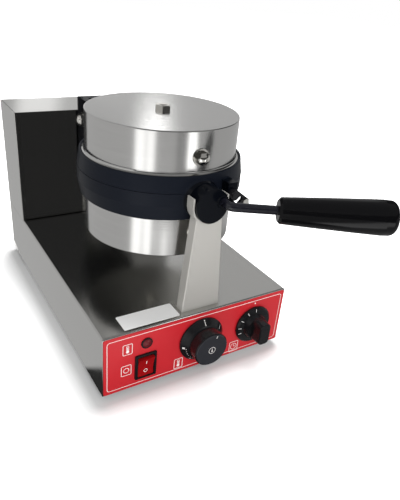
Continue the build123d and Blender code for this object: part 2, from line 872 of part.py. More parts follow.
clamp_low = heater_z + heater_tube + fit_gap
wool_low = clamp_low + clamp_thick + fit_gap
wool_high = cover_ceiling - 1.0
with BuildPart() as upper_clamp:
    with BuildSketch(level(clamp_low)):
        Circle(clamp_radius)
        Circle(stud_hole, mode=Mode.SUBTRACT)
        with Locations(*terminal_points):
            Circle(heater_tube + tail_gap, mode=Mode.SUBTRACT)
        with PolarLocations(clamp_hole_ring, 6, start_angle=30):
            Circle(clamp_hole, mode=Mode.SUBTRACT)
    extrude(amount=clamp_thick)
save(upper_clamp.part, "upper_clamp")

with BuildPart() as upper_insulation:
    with BuildSketch(level(wool_low)):
        Circle(cover_inside - wool_gap)
        Circle(stud_radius + wool_core, mode=Mode.SUBTRACT)
        with Locations(*terminal_points):
            Circle(heater_tube + tail_gap, mode=Mode.SUBTRACT)
        with Locations((0, -cover_radius)):
            Rectangle(22, 24, mode=Mode.SUBTRACT)
    extrude(amount=wool_high - wool_low)
save(upper_insulation.part, "upper_insulation")

stud_low = plate_back - stud_depth + stud_play
with BuildPart() as upper_stud:
    with BuildSketch(level(stud_low)):
        Circle(stud_radius)
    extrude(amount=cover_reach + cover_nut_thick + stud_bevel - stud_low)
    chamfer(upper_stud.faces().sort_by(Axis.Z)[-1].edges(), length=stud_bevel)
    with BuildSketch(level(wool_low)):
        RegularPolygon(nut_flat, 6, major_radius=False)
    extrude(amount=cover_nut_thick)
save(upper_stud.part, "upper_stud")

with BuildPart() as upper_cover_nut:
    with BuildSketch(level(cover_reach)):
        RegularPolygon(nut_flat, 6, major_radius=False)
    extrude(amount=cover_nut_thick)
    with BuildSketch(Plane((head_x, head_y, axis_z + cover_reach), x_dir=(1, 0, 0), z_dir=(0, -1, 0))):
        with BuildLine():
            Polyline(
                (0, 0), (nut_corner, 0), (nut_corner, cover_nut_thick - nut_bevel), (nut_face, cover_nut_thick),
                (0, cover_nut_thick), close=True
            )
        make_face()
    revolve(axis=head_line, mode=Mode.INTERSECT)
    with BuildSketch(level(cover_reach)):
        Circle(stud_hole)
    extrude(amount=cover_nut_thick, mode=Mode.SUBTRACT)
save(upper_cover_nut.part, "upper_cover_nut")

nut_plane = facing_front(head_y - cover_radius)
nut_section = Plane((head_x, head_y - cover_radius, axis_z + nut_rise), x_dir=(1, 0, 0), z_dir=(0, 0, -1))
hex_end = washer_thick + dome_nut_flat
dome_start = hex_end + dome_nut_step
dome_end = washer_thick + dome_nut_height
with BuildPart() as upper_front_nut:
    with BuildSketch(nut_plane):
        with Locations((0, nut_rise)):
            RegularPolygon(dome_nut_hex, 6)
    extrude(amount=dome_end)
    with BuildSketch(nut_section):
        with BuildLine():
            Polyline(
                (0, washer_thick), (dome_nut_hex, washer_thick), (dome_nut_hex, hex_end),
                (dome_nut_cap, dome_start)
            )
            dome_arc(dome_nut_cap, dome_start, dome_end)
            Line((0, dome_end), (0, washer_thick))
        make_face()
    revolve(axis=Axis(nut_section.origin, (0, -1, 0)), mode=Mode.INTERSECT)
    with BuildSketch(nut_plane):
        with Locations((0, nut_rise)):
            Circle(dome_nut_washer)
    extrude(amount=washer_thick)
    with BuildSketch(nut_plane):
        with Locations((0, nut_rise)):
            Circle(front_nut_radius)
    extrude(amount=-front_nut_depth)
save(upper_front_nut.part, "upper_front_nut")

for upper in (
    upper_cover, upper_heater, upper_clamp, upper_insulation, upper_stud, upper_cover_nut, upper_front_nut
):
    with BuildPart() as lower:
        mirror(upper.part, about=middle_plane)
    save(lower.part, upper.part.label.replace("upper", "lower"))

# Rear yoke: the black block that carries both plates on the hollow shaft

cheek_inner = yoke_width / 2 - yoke_cheek
yoke_front = boss_face + yoke_room
lip_low = hinge_rise + yoke_lip_rise
lip_face = hinge_y + yoke_lip_back
shelf_back = web_front - 6
with BuildPart() as rear_yoke:
    with BuildSketch(side_view(head_x - yoke_width / 2)):
        with BuildLine():
            FilletPolyline(
                (yoke_back, yoke_half_height), (yoke_front + yoke_chamfer[0], yoke_half_height),
                (yoke_front, yoke_half_height - yoke_chamfer[1]), (yoke_front, -yoke_half_height + 26),
                (yoke_front + yoke_toe, -yoke_half_height), (yoke_back, -yoke_half_height), radius=2.5,
                close=True
            )
        make_face()
    extrude(amount=yoke_width)
    with BuildSketch(side_view(head_x - cheek_inner)):
        with BuildLine():
            Polyline(
                (yoke_front - 1, yoke_shelf), (shelf_back, yoke_shelf), (shelf_back, yoke_floor),
                (web_front, yoke_floor), (web_front, lip_low), (lip_face, lip_low),
                (lip_face, yoke_half_height + 1), (yoke_front - 1, yoke_half_height + 1), close=True
            )
        make_face()
    extrude(amount=2 * cheek_inner, mode=Mode.SUBTRACT)
    with BuildSketch(side_view(head_x - cheek_inner)):
        with Locations(((yoke_front + web_front) / 2 - 10, -yoke_half_height + 2)):
            Rectangle(web_front - yoke_front + 2, 20)
    extrude(amount=2 * cheek_inner, mode=Mode.SUBTRACT)
    with BuildSketch(side_view(head_x - boss_width / 2)):
        with BuildLine():
            Polyline(
                (boss_face, yoke_shelf), (boss_face, -ring_drop), (yoke_front + 8, yoke_floor),
                (shelf_back, yoke_floor), (shelf_back, yoke_shelf), close=True
            )
        make_face()
    extrude(amount=boss_width)
    with BuildSketch(Plane((head_x, 0, axis_z + lower_bolt_rise))):
        with Locations(*[(side * boss_bolt_x, boss_face + arm_plate + 4) for side in (-1, 1)]):
            Rectangle(15, 8)
    extrude(amount=11, both=True, mode=Mode.SUBTRACT)
    with BuildSketch(facing_front(boss_face)):
        with Locations(*lower_bolts):
            Circle(boss_bolt_hole)
    extrude(amount=-yoke_bolt_wall, mode=Mode.SUBTRACT)
    with BuildSketch(facing_front(yoke_back)):
        Circle(shaft_radius + fit_gap)
    extrude(amount=yoke_web + 1, mode=Mode.SUBTRACT)
    with BuildSketch(side_view(head_x - yoke_width / 2)):
        with Locations((hinge_y, hinge_rise)):
            Circle(hinge_radius + fit_gap)
    extrude(amount=yoke_width, mode=Mode.SUBTRACT)
save(rear_yoke.part, "rear_yoke")

arm_half = cheek_inner - arm_gap
arm_high = hinge_rise + arm_over
rib_back = boss_face + arm_rib_reach
with BuildPart() as lid_arm:
    with BuildSketch(side_view(head_x - arm_half)):
        with BuildLine():
            Polyline(
                (rib_back - 1, arm_low), (hinge_y, hinge_rise - eye_radius), (hinge_y, arm_high),
                (rib_back - 1, arm_high), close=True
            )
        make_face()
        with Locations((hinge_y, hinge_rise)):
            Circle(eye_radius - 1.0)
    extrude(amount=2 * arm_half)
    with BuildSketch(side_view(head_x - arm_rib / 2)):
        with BuildLine():
            Polyline(
                (boss_face, arm_low), (rib_back, arm_low), (rib_back, arm_high), (boss_face, rim_rise),
                close=True
            )
        make_face()
    extrude(amount=arm_rib)
    with BuildSketch(facing_front(boss_face)):
        with Locations((0, (arm_low + rim_rise) / 2)):
            Rectangle(boss_width, rim_rise - arm_low)
        with Locations(*upper_bolts):
            Circle(boss_bolt_hole, mode=Mode.SUBTRACT)
    extrude(amount=-arm_plate)
    with BuildSketch(side_view(head_x - yoke_width / 2)):
        with Locations((hinge_y, hinge_rise)):
            Circle(hinge_radius + fit_gap)
    extrude(amount=yoke_width, mode=Mode.SUBTRACT)
save(lid_arm.part, "lid_arm")


def cap_screws(places):
    """The pair of screws that hold a bracket on a plate's rear boss."""
    with BuildPart() as screws:
        for x, rise in places:
            head = Plane((head_x + x, boss_face + arm_plate, axis_z + rise), x_dir=(-1, 0, 0), z_dir=(0, 1, 0))
            with BuildSketch(head):
                Circle(boss_bolt_head[0])
            extrude(amount=boss_bolt_head[1])
            with BuildSketch(head):
                Circle(boss_bolt_radius)
            extrude(amount=-boss_bolt_length)
    return screws.part


save(cap_screws(upper_bolts), "lid_arm_screws")
save(cap_screws(lower_bolts), "yoke_screws")

hinge_nut_reach = yoke_width / 2
with BuildPart() as hinge_bolt:
    with BuildSketch(Plane((head_x - hinge_nut_reach, hinge_y, hinge_z), x_dir=(0, 1, 0), z_dir=(1, 0, 0))):
        Circle(hinge_radius)
    extrude(amount=2 * hinge_nut_reach)
save(hinge_bolt.part, "hinge_bolt")

with BuildPart() as hinge_nuts:
    for sign in (-1, 1):
        end = Plane(
            (head_x + sign * hinge_nut_reach, hinge_y, hinge_z), x_dir=(0, -sign, 0), z_dir=(sign, 0, 0)
        )
        section = Plane(end.origin, x_dir=end.x_dir, z_dir=-end.y_dir)
        with BuildSketch(section):
            with BuildLine():
                Polyline(
                    (0, 0), (cap_nut_washer[0], 0), cap_nut_washer, (cap_nut_hex[0], cap_nut_washer[1]),
                    cap_nut_hex, cap_nut_dome
                )
                dome_arc(*cap_nut_dome, cap_nut_height)
                Line((0, cap_nut_height), (0, 0))
            make_face()
        revolve(axis=Axis(end.origin, end.z_dir))
save(hinge_nuts.part, "hinge_nuts")

# Shaft and bearing inside the tower, with the stop that ends the half turn

bush_outer = shaft_radius + fit_gap + bush_wall
tower_inside = tower_face + case_wall
housing_back = tower_inside + housing_length
collar_front = housing_back + seam_gap
collar_back = collar_front + collar_width
shaft_back = collar_back + shaft_tail
shaft_front = web_front - shoulder_thick
with BuildPart() as rotor_shaft:
    with BuildSketch(facing_front(shaft_back)):
        Circle(shaft_radius)
    extrude(amount=shaft_back - shaft_front)
    with BuildSketch(facing_front(web_front)):
        Circle(shoulder_radius)
    extrude(amount=shoulder_thick)
    with BuildSketch(facing_front(shaft_back)):
        Circle(shaft_bore)
    extrude(amount=shaft_back - shaft_front, mode=Mode.SUBTRACT)
save(rotor_shaft.part, "rotor_shaft")

with BuildPart() as thrust_washer:
    with BuildSketch(facing_front(yoke_back + seam_gap)):
        Circle(shaft_radius + washer_width)
        Circle(shaft_radius + seam_gap, mode=Mode.SUBTRACT)
    extrude(amount=-(yoke_gap - seam_gap))
save(thrust_washer.part, "thrust_washer")

with BuildPart() as bearing_bush:
    with BuildSketch(facing_front(housing_back)):
        Circle(bush_outer)
        Circle(shaft_radius + fit_gap, mode=Mode.SUBTRACT)
    extrude(amount=housing_length)
save(bearing_bush.part, "bearing_bush")

with BuildPart() as bearing_housing:
    with BuildSketch(facing_front(housing_back)):
        Circle(housing_radius)
    extrude(amount=housing_length)
    with BuildSketch(facing_front(tower_inside + housing_flange)):
        RectangleRounded(flange_width, flange_tall, flange_corner)
    extrude(amount=housing_flange)
    stop_low = -stop_bar / 2 - seam_gap
    with BuildSketch(facing_front(housing_back)):
        Circle(stop_radius)
        with Locations((0, stop_low + stop_radius)):
            Rectangle(3 * stop_radius, 2 * stop_radius, mode=Mode.SUBTRACT)
    extrude(amount=stop_root)
    with BuildSketch(facing_front(collar_back)):
        Circle(stop_radius)
        Circle(stop_radius - stop_wall, mode=Mode.SUBTRACT)
        with Locations((0, stop_low + stop_radius)):
            Rectangle(3 * stop_radius, 2 * stop_radius, mode=Mode.SUBTRACT)
    extrude(amount=collar_back - housing_back + 1)
    with BuildSketch(facing_front(housing_back)):
        Circle(bush_outer + fit_gap)
    extrude(amount=housing_length, mode=Mode.SUBTRACT)
    with BuildSketch(facing_front(tower_inside + housing_flange)):
        with GridLocations(*flange_bolts, 2, 2):
            Circle(flange_bolt_radius + fit_gap)
    extrude(amount=housing_flange, mode=Mode.SUBTRACT)
save(bearing_housing.part, "bearing_housing")

bracket_front = tower_inside + housing_flange
bracket_half = case_width / 2 - bracket_side
bracket_high = tower_top - bracket_under
with BuildPart() as bearing_bracket:
    with BuildSketch(facing_front(bracket_front)):
        with Locations((-head_x, (deck_z + bracket_high) / 2 - axis_z)):
            Rectangle(2 * bracket_half, bracket_high - deck_z)
        Circle(housing_radius + 0.5, mode=Mode.SUBTRACT)
        with GridLocations(*flange_bolts, 2, 2):
            Circle(flange_bolt_radius + fit_gap, mode=Mode.SUBTRACT)
    extrude(amount=-bracket_thick)
    with BuildSketch(Plane.XY.offset(deck_z)):
        with Locations((0, bracket_front + bracket_foot / 2)):
            Rectangle(2 * bracket_half, bracket_foot)
            SlotOverall(*bracket_slot, mode=Mode.SUBTRACT)
    extrude(amount=bracket_thick)
    for sign in (-1, 1):
        with BuildSketch(side_view(sign * bracket_half)):
            with BuildLine():
                Polyline(
                    (bracket_front, deck_z - axis_z), (bracket_front + bracket_foot, deck_z - axis_z),
                    (bracket_front + bracket_thick, bracket_high - axis_z),
                    (bracket_front, bracket_high - axis_z), close=True
                )
            make_face()
        extrude(amount=-sign * bracket_thick)
save(bearing_bracket.part, "bearing_bracket")

with BuildPart() as bearing_bolts:
    with BuildSketch(facing_front(bracket_front + bracket_thick)):
        with GridLocations(*flange_bolts, 2, 2):
            RegularPolygon(flange_bolt_hex, 6)
    extrude(amount=-flange_bolt_head)
    with BuildSketch(facing_front(bracket_front + bracket_thick)):
        with GridLocations(*flange_bolts, 2, 2):
            Circle(flange_bolt_radius)
    extrude(amount=housing_flange + bracket_thick - 0.5)
save(bearing_bolts.part, "bearing_bolts")

with BuildPart() as stop_collar:
    with BuildSketch(facing_front(collar_back)):
        Circle(collar_radius)
        with Locations((stop_radius / 2, 0)):
            Rectangle(stop_radius, stop_bar)
        Circle(shaft_radius + fit_gap, mode=Mode.SUBTRACT)
    extrude(amount=collar_width)
save(stop_collar.part, "stop_collar")

# Handle: a bent rod from the front disc and a tapering grip on it

lead_x = cos(radians(handle_lead))
lead_y = -sin(radians(handle_lead))
rod_x = head_x + rod_offset
rod_z = axis_z + rod_rise
corner_y = disc_front - rod_lead
grip_x = rod_x + handle_start * lead_x
grip_y = corner_y + handle_start * lead_y
grip_bore = grip_length * grip_share
rod_end = handle_start + grip_bore
with BuildPart() as handle_rod:
    with BuildLine() as rod_path:
        FilletPolyline(
            (rod_x, disc_front + rod_socket, rod_z), (rod_x, corner_y, rod_z),
            (rod_x + rod_end * lead_x, corner_y + rod_end * lead_y, rod_z), radius=rod_bend
        )
    with BuildSketch(facing_front(disc_front + rod_socket)):
        with Locations((rod_offset, rod_rise)):
            Circle(rod_radius)
    sweep()
save(handle_rod.part, "handle_rod")

grip_line = Axis((grip_x, grip_y, rod_z), (lead_x, lead_y, 0))
grip_section = Plane((grip_x, grip_y, rod_z), x_dir=(lead_x, lead_y, 0), z_dir=(-lead_y, lead_x, 0))
with BuildPart() as handle_grip:
    with BuildSketch(grip_section):
        with BuildLine():
            Polyline((0, 0), (0, grip_small - grip_nose), (grip_nose, grip_small))
            ThreePointArc(
                (grip_nose, grip_small), (grip_bore, (grip_small + grip_large) / 2 + grip_swell),
                (grip_length - grip_tail, grip_large)
            )
            FilletPolyline(
                (grip_length - grip_tail, grip_large), (grip_length - 3.4, grip_large - 0.6),
                (grip_length - 1.2, grip_large * 0.62), (grip_length, 0), radius=7
            )
            Line((grip_length, 0), (0, 0))
        make_face()
    revolve(axis=grip_line)
    with BuildSketch(Plane((grip_x, grip_y, rod_z), x_dir=(-lead_y, lead_x, 0), z_dir=(lead_x, lead_y, 0))):
        Circle(rod_radius + fit_gap)
    extrude(amount=grip_bore + 0.5, mode=Mode.SUBTRACT)
save(handle_grip.part, "handle_grip")

# Latch: a small hook on the upper plate that turns down under a pin on the lower plate

latch_pivot = Plane(
    (head_x + latch_x, latch_y, axis_z + latch_rise),
    x_dir=(cos(radians(latch_hang)), 0, -sin(radians(latch_hang))), z_dir=(0, -1, 0)
)
latch_track = latch_pin + latch_play


def pin_track():
    """The curved way that the pin takes through the lever, round the lever's pivot."""
    with BuildSketch() as track:
        Circle(latch_slot + latch_track)
        Circle(latch_slot - latch_track, mode=Mode.SUBTRACT)
        with Locations((latch_slot, -latch_slot)):
            Rectangle(2 * latch_slot, 2 * latch_slot, mode=Mode.INTERSECT)
        with Locations((latch_slot, 0)):
            Circle(latch_track)
    return track.sketch


with BuildPart() as latch_lever:
    with BuildSketch(latch_pivot):
        with BuildLine():
            Polyline(
                (0, -latch_half), (18, -latch_half), (22, -3.0), (27, 0.5), (22, latch_half), (0, latch_half),
                close=True
            )
        make_face()
        Circle(latch_half)
        add(pin_track(), mode=Mode.SUBTRACT)
        Circle(latch_screw + fit_gap, mode=Mode.SUBTRACT)
        with Locations(finger_point):
            Circle(finger_screw + fit_gap, mode=Mode.SUBTRACT)
    extrude(amount=-latch_thick)
save(latch_lever.part, "latch_lever")

with BuildPart() as latch_finger_screw:
    with BuildSketch(latch_pivot):
        with Locations(finger_point):
            RegularPolygon(finger_hex[0], 6)
    extrude(amount=finger_hex[1])
    with BuildSketch(latch_pivot):
        with Locations(finger_point):
            Circle(finger_screw)
    extrude(amount=-latch_thick)
save(latch_finger_screw.part, "latch_finger_screw")

with BuildPart() as latch_pivot_screw:
    with BuildSketch(latch_pivot.offset(seam_gap)):
        Circle(latch_screw_head[0])
    extrude(amount=latch_screw_head[1], taper=18)
    with BuildSketch(latch_pivot.offset(seam_gap)):
        Circle(latch_screw)
    extrude(amount=-(latch_thick + 2 * seam_gap + 7))
save(latch_pivot_screw.part, "latch_pivot_screw")

with BuildPart() as latch_pin_stud:
    with BuildSketch(facing_front(lug_y)):
        with Locations((latch_x, pin_rise)):
            Circle(latch_pin)
    extrude(amount=latch_thick + 0.9)
    with BuildSketch(facing_front(lug_y)):
        with Locations((latch_x, pin_rise)):
            Circle(pin_shank)
    extrude(amount=-8)
save(latch_pin_stud.part, "latch_pin_stud")

# Controls

lamp_plane = panel_point(lamp_x, lamp_height)
with BuildPart() as pilot_body:
    with BuildSketch(lamp_plane):
        Circle(lamp_radius)
    extrude(amount=lamp_flange)
    with BuildSketch(lamp_plane):
        Circle(lamp_hole - fit_gap)
    extrude(amount=-lamp_body)
    with BuildSketch(lamp_plane.offset(lamp_flange)):
        Circle(lamp_radius - lens_wall)
    extrude(amount=-8, mode=Mode.SUBTRACT)
    with BuildSketch(lamp_plane.offset(-lamp_body)):
        with Locations((-2.2, 0), (2.2, 0)):
            Rectangle(tab_thick, 4.6)
    extrude(amount=-7)
save(pilot_body.part, "pilot_body")

with BuildPart() as pilot_lens:
    with BuildSketch(knob_section(lamp_x, lamp_height)):
        with BuildLine():
            lens = lamp_radius - lens_wall - fit_gap
            Polyline((0, -lens_depth), (lens, -lens_depth), (lens, lens_edge))
            dome_arc(lens, lens_edge, lens_rise)
            Line((0, lens_rise), (0, -lens_depth))
        make_face()
    revolve(axis=knob_line(lamp_x, lamp_height))
save(pilot_lens.part, "pilot_lens")

switch_plane = panel_point(switch_x, switch_height)
rocker_width = switch_width - 7.0
rocker_pin_reach = rocker_side_gap + 0.8
with BuildPart() as rocker_frame:
    with BuildSketch(switch_plane):
        RectangleRounded(switch_width, switch_tall, 1.5)
    extrude(amount=switch_bezel)
    fillet(rocker_frame.faces().sort_by(Axis.Y)[0].edges(), radius=0.8)
    with BuildSketch(switch_plane):
        Rectangle(switch_cut[0] - 2 * fit_gap, switch_cut[1] - 2 * fit_gap)
    extrude(amount=-switch_body_depth)
    with BuildSketch(switch_plane.offset(switch_bezel)):
        Rectangle(rocker_width + 2 * rocker_side_gap, 2 * rocker_half + 2.4)
    extrude(amount=-16, mode=Mode.SUBTRACT)
    with BuildSketch(Plane((switch_x, 0, 0), x_dir=(0, 1, 0), z_dir=(1, 0, 0))):
        with Locations((panel_y + rocker_pivot_depth, case_bottom + switch_height)):
            Circle(rocker_pin + fit_gap)
    extrude(amount=rocker_width / 2 + rocker_pin_reach, both=True, mode=Mode.SUBTRACT)
    with BuildSketch(switch_plane.offset(-switch_body_depth)):
        with Locations((0, -9), (0, 0), (0, 9)):
            Rectangle(tab_width, tab_thick)
    extrude(amount=-tab_length)
save(rocker_frame.part, "rocker_frame")

rocker_view = Plane(
    (switch_x - rocker_width / 2, panel_y + rocker_pivot_depth, case_bottom + switch_height),
    x_dir=(0, -cos(radians(rocker_tilt)), -sin(radians(rocker_tilt))), z_dir=(1, 0, 0)
)
with BuildPart() as rocker:
    with BuildSketch(rocker_view):
        with BuildLine():
            Polyline((-5, -6), (-5, 6), (3, rocker_half - 0.6), (7.6, rocker_half))
            ThreePointArc((7.6, rocker_half), (5.9, 0), (7.6, -rocker_half))
            Polyline((7.6, -rocker_half), (3, -rocker_half + 0.6), (-5, -6))
        make_face()
    extrude(amount=rocker_width)
    fillet(rocker.faces().sort_by(Axis.X)[0].edges() + rocker.faces().sort_by(Axis.X)[-1].edges(), radius=0.5)
    with BuildSketch(rocker_view.offset(-rocker_pin_reach)):
        Circle(rocker_pin)
    extrude(amount=rocker_width + 2 * rocker_pin_reach)
save(rocker.part, "rocker")


def spindle(x, height):
    """A control's turning spindle, from inside its body out into the knob."""
    with BuildPart() as rod:
        with BuildSketch(panel_point(x, height).offset(spindle_reach)):
            Circle(spindle_radius)
        extrude(amount=-(spindle_reach + spindle_inside))
    return rod.part


def control_body(x, height, width, tall, depth):
    """A control's body behind the panel, with the bush that passes through the panel."""
    face = panel_point(x, height).offset(-(panel_thick + case_wall))
    with BuildPart() as body:
        with BuildSketch(face):
            RectangleRounded(width, tall, 3)
        extrude(amount=-depth)
        with BuildSketch(face):
            Circle(bush_radius)
        extrude(amount=panel_thick + case_wall + knob_gap - 0.7)
        with BuildSketch(face.offset(-depth)):
            with Locations((-width / 4, 0), (width / 4, 0)):
                Rectangle(tab_thick, tab_width)
        extrude(amount=-tab_length)
        with BuildSketch(face.offset(panel_thick + case_wall + knob_gap)):
            Circle(spindle_radius + fit_gap)
        extrude(amount=-(panel_thick + case_wall + knob_gap + spindle_inside + 0.5), mode=Mode.SUBTRACT)
    return body.part


save(control_body(thermostat_x, thermostat_height, 44, 36, 30), "thermostat_body")
save(control_body(timer_x, timer_height, 42, 46, 34), "timer_body")

spindle_hole = spindle_radius + fit_gap
with BuildPart() as thermostat_knob:
    with BuildSketch(knob_section(thermostat_x, thermostat_height)):
        with BuildLine():
            FilletPolyline(
                (spindle_hole, knob_gap), (thermostat_skirt, knob_gap), (thermostat_skirt, knob_gap + 1.8),
                (thermostat_cap + 1.6, 9.4), (thermostat_cap - 0.6, 10.2), (thermostat_cap, 12.0),
                (thermostat_cap + 0.4, thermostat_reach - 1.8), (thermostat_cap - 1.4, thermostat_reach),
                (1.0, thermostat_reach), radius=0.4
            )
            Polyline(
                (1.0, thermostat_reach), (0, thermostat_reach), (0, knob_bore), (spindle_hole, knob_bore),
                (spindle_hole, knob_gap)
            )
        make_face()
    revolve(axis=knob_line(thermostat_x, thermostat_height))
save(thermostat_knob.part, "thermostat_knob")

save(spindle(thermostat_x, thermostat_height), "thermostat_spindle")

with BuildPart() as timer_knob:
    with BuildSketch(knob_section(timer_x, timer_height)):
        with BuildLine():
            Polyline(
                (0, knob_gap), (timer_skirt, knob_gap), (timer_skirt, knob_gap + 1.6), (timer_skirt - 2.2, 5.2),
                (17.5, 6.4), (15.5, 12.0), (0, 12.0), close=True
            )
        make_face()
    revolve(axis=knob_line(timer_x, timer_height))
    with BuildSketch(panel_point(timer_x, timer_height).offset(timer_bar_start)):
        RectangleRounded(*timer_bar)
    extrude(amount=timer_reach - timer_bar_start, taper=4)
    fillet(timer_knob.faces().sort_by(Axis.Y)[0].edges(), radius=1.5)
    with BuildSketch(panel_point(timer_x, timer_height).offset(knob_gap)):
        Circle(spindle_hole)
    extrude(amount=knob_bore - knob_gap, mode=Mode.SUBTRACT)
save(timer_knob.part, "timer_knob")

save(spindle(timer_x, timer_height), "timer_spindle")

terminal_base = Plane((case_width / 2 - terminal_side, back_y - terminal_back, case_bottom))
with BuildPart() as terminal_block:
    with BuildSketch(terminal_base):
        Rectangle(3 * terminal_pitch + 4, 22)
    extrude(amount=terminal_foot)
    with BuildSketch(terminal_base.offset(terminal_foot)):
        with GridLocations(terminal_pitch, 1, 3, 1):
            RectangleRounded(terminal_pitch - 4, 20, 1)
    extrude(amount=terminal_tall)
    with BuildSketch(terminal_base.offset(terminal_foot + terminal_tall)):
        with GridLocations(terminal_pitch, 11, 3, 2):
            Circle(2.2)
    extrude(amount=-6, mode=Mode.SUBTRACT)
save(terminal_block.part, "terminal_block")
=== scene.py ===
import math

import bpy
import numpy as np
from mathutils import Matrix, Vector


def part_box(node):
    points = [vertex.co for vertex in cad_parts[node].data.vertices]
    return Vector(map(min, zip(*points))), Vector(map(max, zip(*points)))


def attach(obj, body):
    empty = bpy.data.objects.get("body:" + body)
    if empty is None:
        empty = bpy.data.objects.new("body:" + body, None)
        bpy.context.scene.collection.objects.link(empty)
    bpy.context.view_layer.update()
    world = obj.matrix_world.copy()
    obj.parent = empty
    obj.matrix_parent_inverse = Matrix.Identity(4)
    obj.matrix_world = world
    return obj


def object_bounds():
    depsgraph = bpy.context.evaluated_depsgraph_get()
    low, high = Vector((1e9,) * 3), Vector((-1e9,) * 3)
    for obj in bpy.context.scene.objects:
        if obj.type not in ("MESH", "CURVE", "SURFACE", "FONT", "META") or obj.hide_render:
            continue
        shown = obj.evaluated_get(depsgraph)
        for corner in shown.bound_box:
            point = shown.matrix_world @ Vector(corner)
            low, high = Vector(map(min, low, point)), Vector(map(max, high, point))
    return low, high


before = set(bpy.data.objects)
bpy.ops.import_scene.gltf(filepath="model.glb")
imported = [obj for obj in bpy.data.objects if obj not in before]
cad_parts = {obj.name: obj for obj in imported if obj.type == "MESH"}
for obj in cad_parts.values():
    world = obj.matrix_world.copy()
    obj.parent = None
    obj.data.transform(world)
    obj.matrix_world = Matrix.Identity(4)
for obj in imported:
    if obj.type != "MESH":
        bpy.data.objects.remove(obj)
cad_low, cad_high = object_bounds()
MM = 0.001

# Casing: one folded sheet of stainless steel, open below, brushed from front to back, left bare.
# A slotted floor closes it from below, and four rubber feet are screwed through the floor.


class Value:
    """A number in a node tree. Arithmetic written on it adds the Math node that works it out."""

    def __init__(self, graph, socket):
        self.graph, self.socket = graph, socket

    def math(self, operation, *others):
        """Any operation of the Math node, on this number and others."""
        return self.graph.node("Math", {"operation": operation}, dict(enumerate((self, *others))))

    def __add__(self, other):
        return self.math("ADD", other)

    __radd__ = __add__

    def __sub__(self, other):
        return self.math("SUBTRACT", other)

    def __rsub__(self, other):
        return self * -1.0 + other

    def __mul__(self, other):
        return self.math("MULTIPLY", other)

    __rmul__ = __mul__

    def __truediv__(self, other):
        return self.math("DIVIDE", other)

    def __pow__(self, other):
        return self.math("POWER", other)

    def __abs__(self):
        return self.math("ABSOLUTE")

    def __gt__(self, other):
        return self.math("GREATER_THAN", other)


class Graph:
    """A node tree, with one method that adds a node by its type, settings and inputs."""

    def __init__(self, tree):
        self.tree = tree

    def node(self, kind, settings=(), inputs=(), output=0):
        """Adds a node, sets it up, then gives its inputs their values or links."""
        made = self.tree.nodes.new("ShaderNode" + kind)
        for name, setting in dict(settings).items():
            setattr(made, name, setting)
        for name, given in dict(inputs).items():
            if isinstance(given, Value):
                self.tree.links.new(given.socket, made.inputs[name])
            else:
                made.inputs[name].default_value = given
        return Value(self, made.outputs[output]) if made.outputs else None

    def mix(self, factor, *colours):
        """The first colour where the factor is 0 and the second where it is 1."""
        first, second = [given if isinstance(given, Value) else (*given, 1) for given in colours]
        return self.node("Mix", {"data_type": "RGBA"}, {0: factor, 6: first, 7: second}, output=2)

    def vector(self, x, y, z):
        return self.node("CombineXYZ", {}, {0: x, 1: y, 2: z})

    def vector_math(self, operation, *given):
        """Any operation of the Vector Math node."""
        return self.node("VectorMath", {"operation": operation}, dict(enumerate(given)))

    def noise(self, where, scale=1.0, detail=2.0):
        return self.node(
            "TexNoise", {}, {"Vector": where, "Scale": scale, "Detail": detail, "Roughness": 0.6}
        )


class Finish(Graph):
    """A surface: a shader with constant sockets, and patterns on object coordinates in metres."""

    def __init__(self, name, colour, roughness, metallic=0.0, sockets=()):
        self.material = bpy.data.materials.new(name)
        self.material.use_nodes = True
        super().__init__(self.material.node_tree)
        self.shader = next(n for n in self.tree.nodes if n.type == "BSDF_PRINCIPLED")
        self.shader.inputs["Base Color"].default_value = (*colour, 1)
        self.shader.inputs["Roughness"].default_value = roughness
        self.shader.inputs["Metallic"].default_value = metallic
        for socket, given in dict(sockets).items():
            self.shader.inputs[socket].default_value = given

    def place(self):
        """The x, y and z of the point that is shaded."""
        if not hasattr(self, "axes"):
            point = self.node("TexCoord", output=3)
            self.axes = [self.node("SeparateXYZ", {}, {0: point}, output=i) for i in range(3)]
        return self.axes

    def feed(self, socket, value):
        self.tree.links.new(value.socket, self.shader.inputs[socket])

    def scratch(self, lay, slope):
        """Tips the surface to both sides of scratches along a direction, by a varying slope."""
        facing = self.node("NewGeometry", output=1)
        turn = {"vector_type": "VECTOR", "convert_from": "OBJECT", "convert_to": "WORLD"}
        side = self.node("VectorTransform", turn, {0: lay})
        side = self.vector_math("CROSS_PRODUCT", side, facing)
        tip = self.vector_math("MULTIPLY", side, self.vector(slope, slope, slope))
        self.feed("Normal", self.vector_math("NORMALIZE", self.vector_math("ADD", facing, tip)))

    def bump(self, height, depth, strength=1.0):
        given = {"Strength": strength, "Distance": depth, "Height": height}
        self.feed("Normal", self.node("Bump", {}, given))

    def on(self, *nodes):
        """Gives the finish to CAD nodes, or to pieces made here."""
        for given in nodes:
            mesh = (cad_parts[given] if isinstance(given, str) else given).data
            mesh.materials.clear()
            mesh.materials.append(self.material)
        return self


def clamp(value, low=0.0, high=1.0):
    return value.math("MAXIMUM", low).math("MINIMUM", high)


def shaded(colour, share):
    """A colour at a share of its brightness."""
    return tuple(channel * share for channel in colour)


ACROSS, ALONG, BROAD = 2600.0, 14.0, 0.06
SHEET = (0.62, 0.615, 0.595)
# Near-black for a painted shadow along a sheet's foot, where it meets another sheet.
PAINTED_SHADOW_DARK = (0.02, 0.02, 0.02)


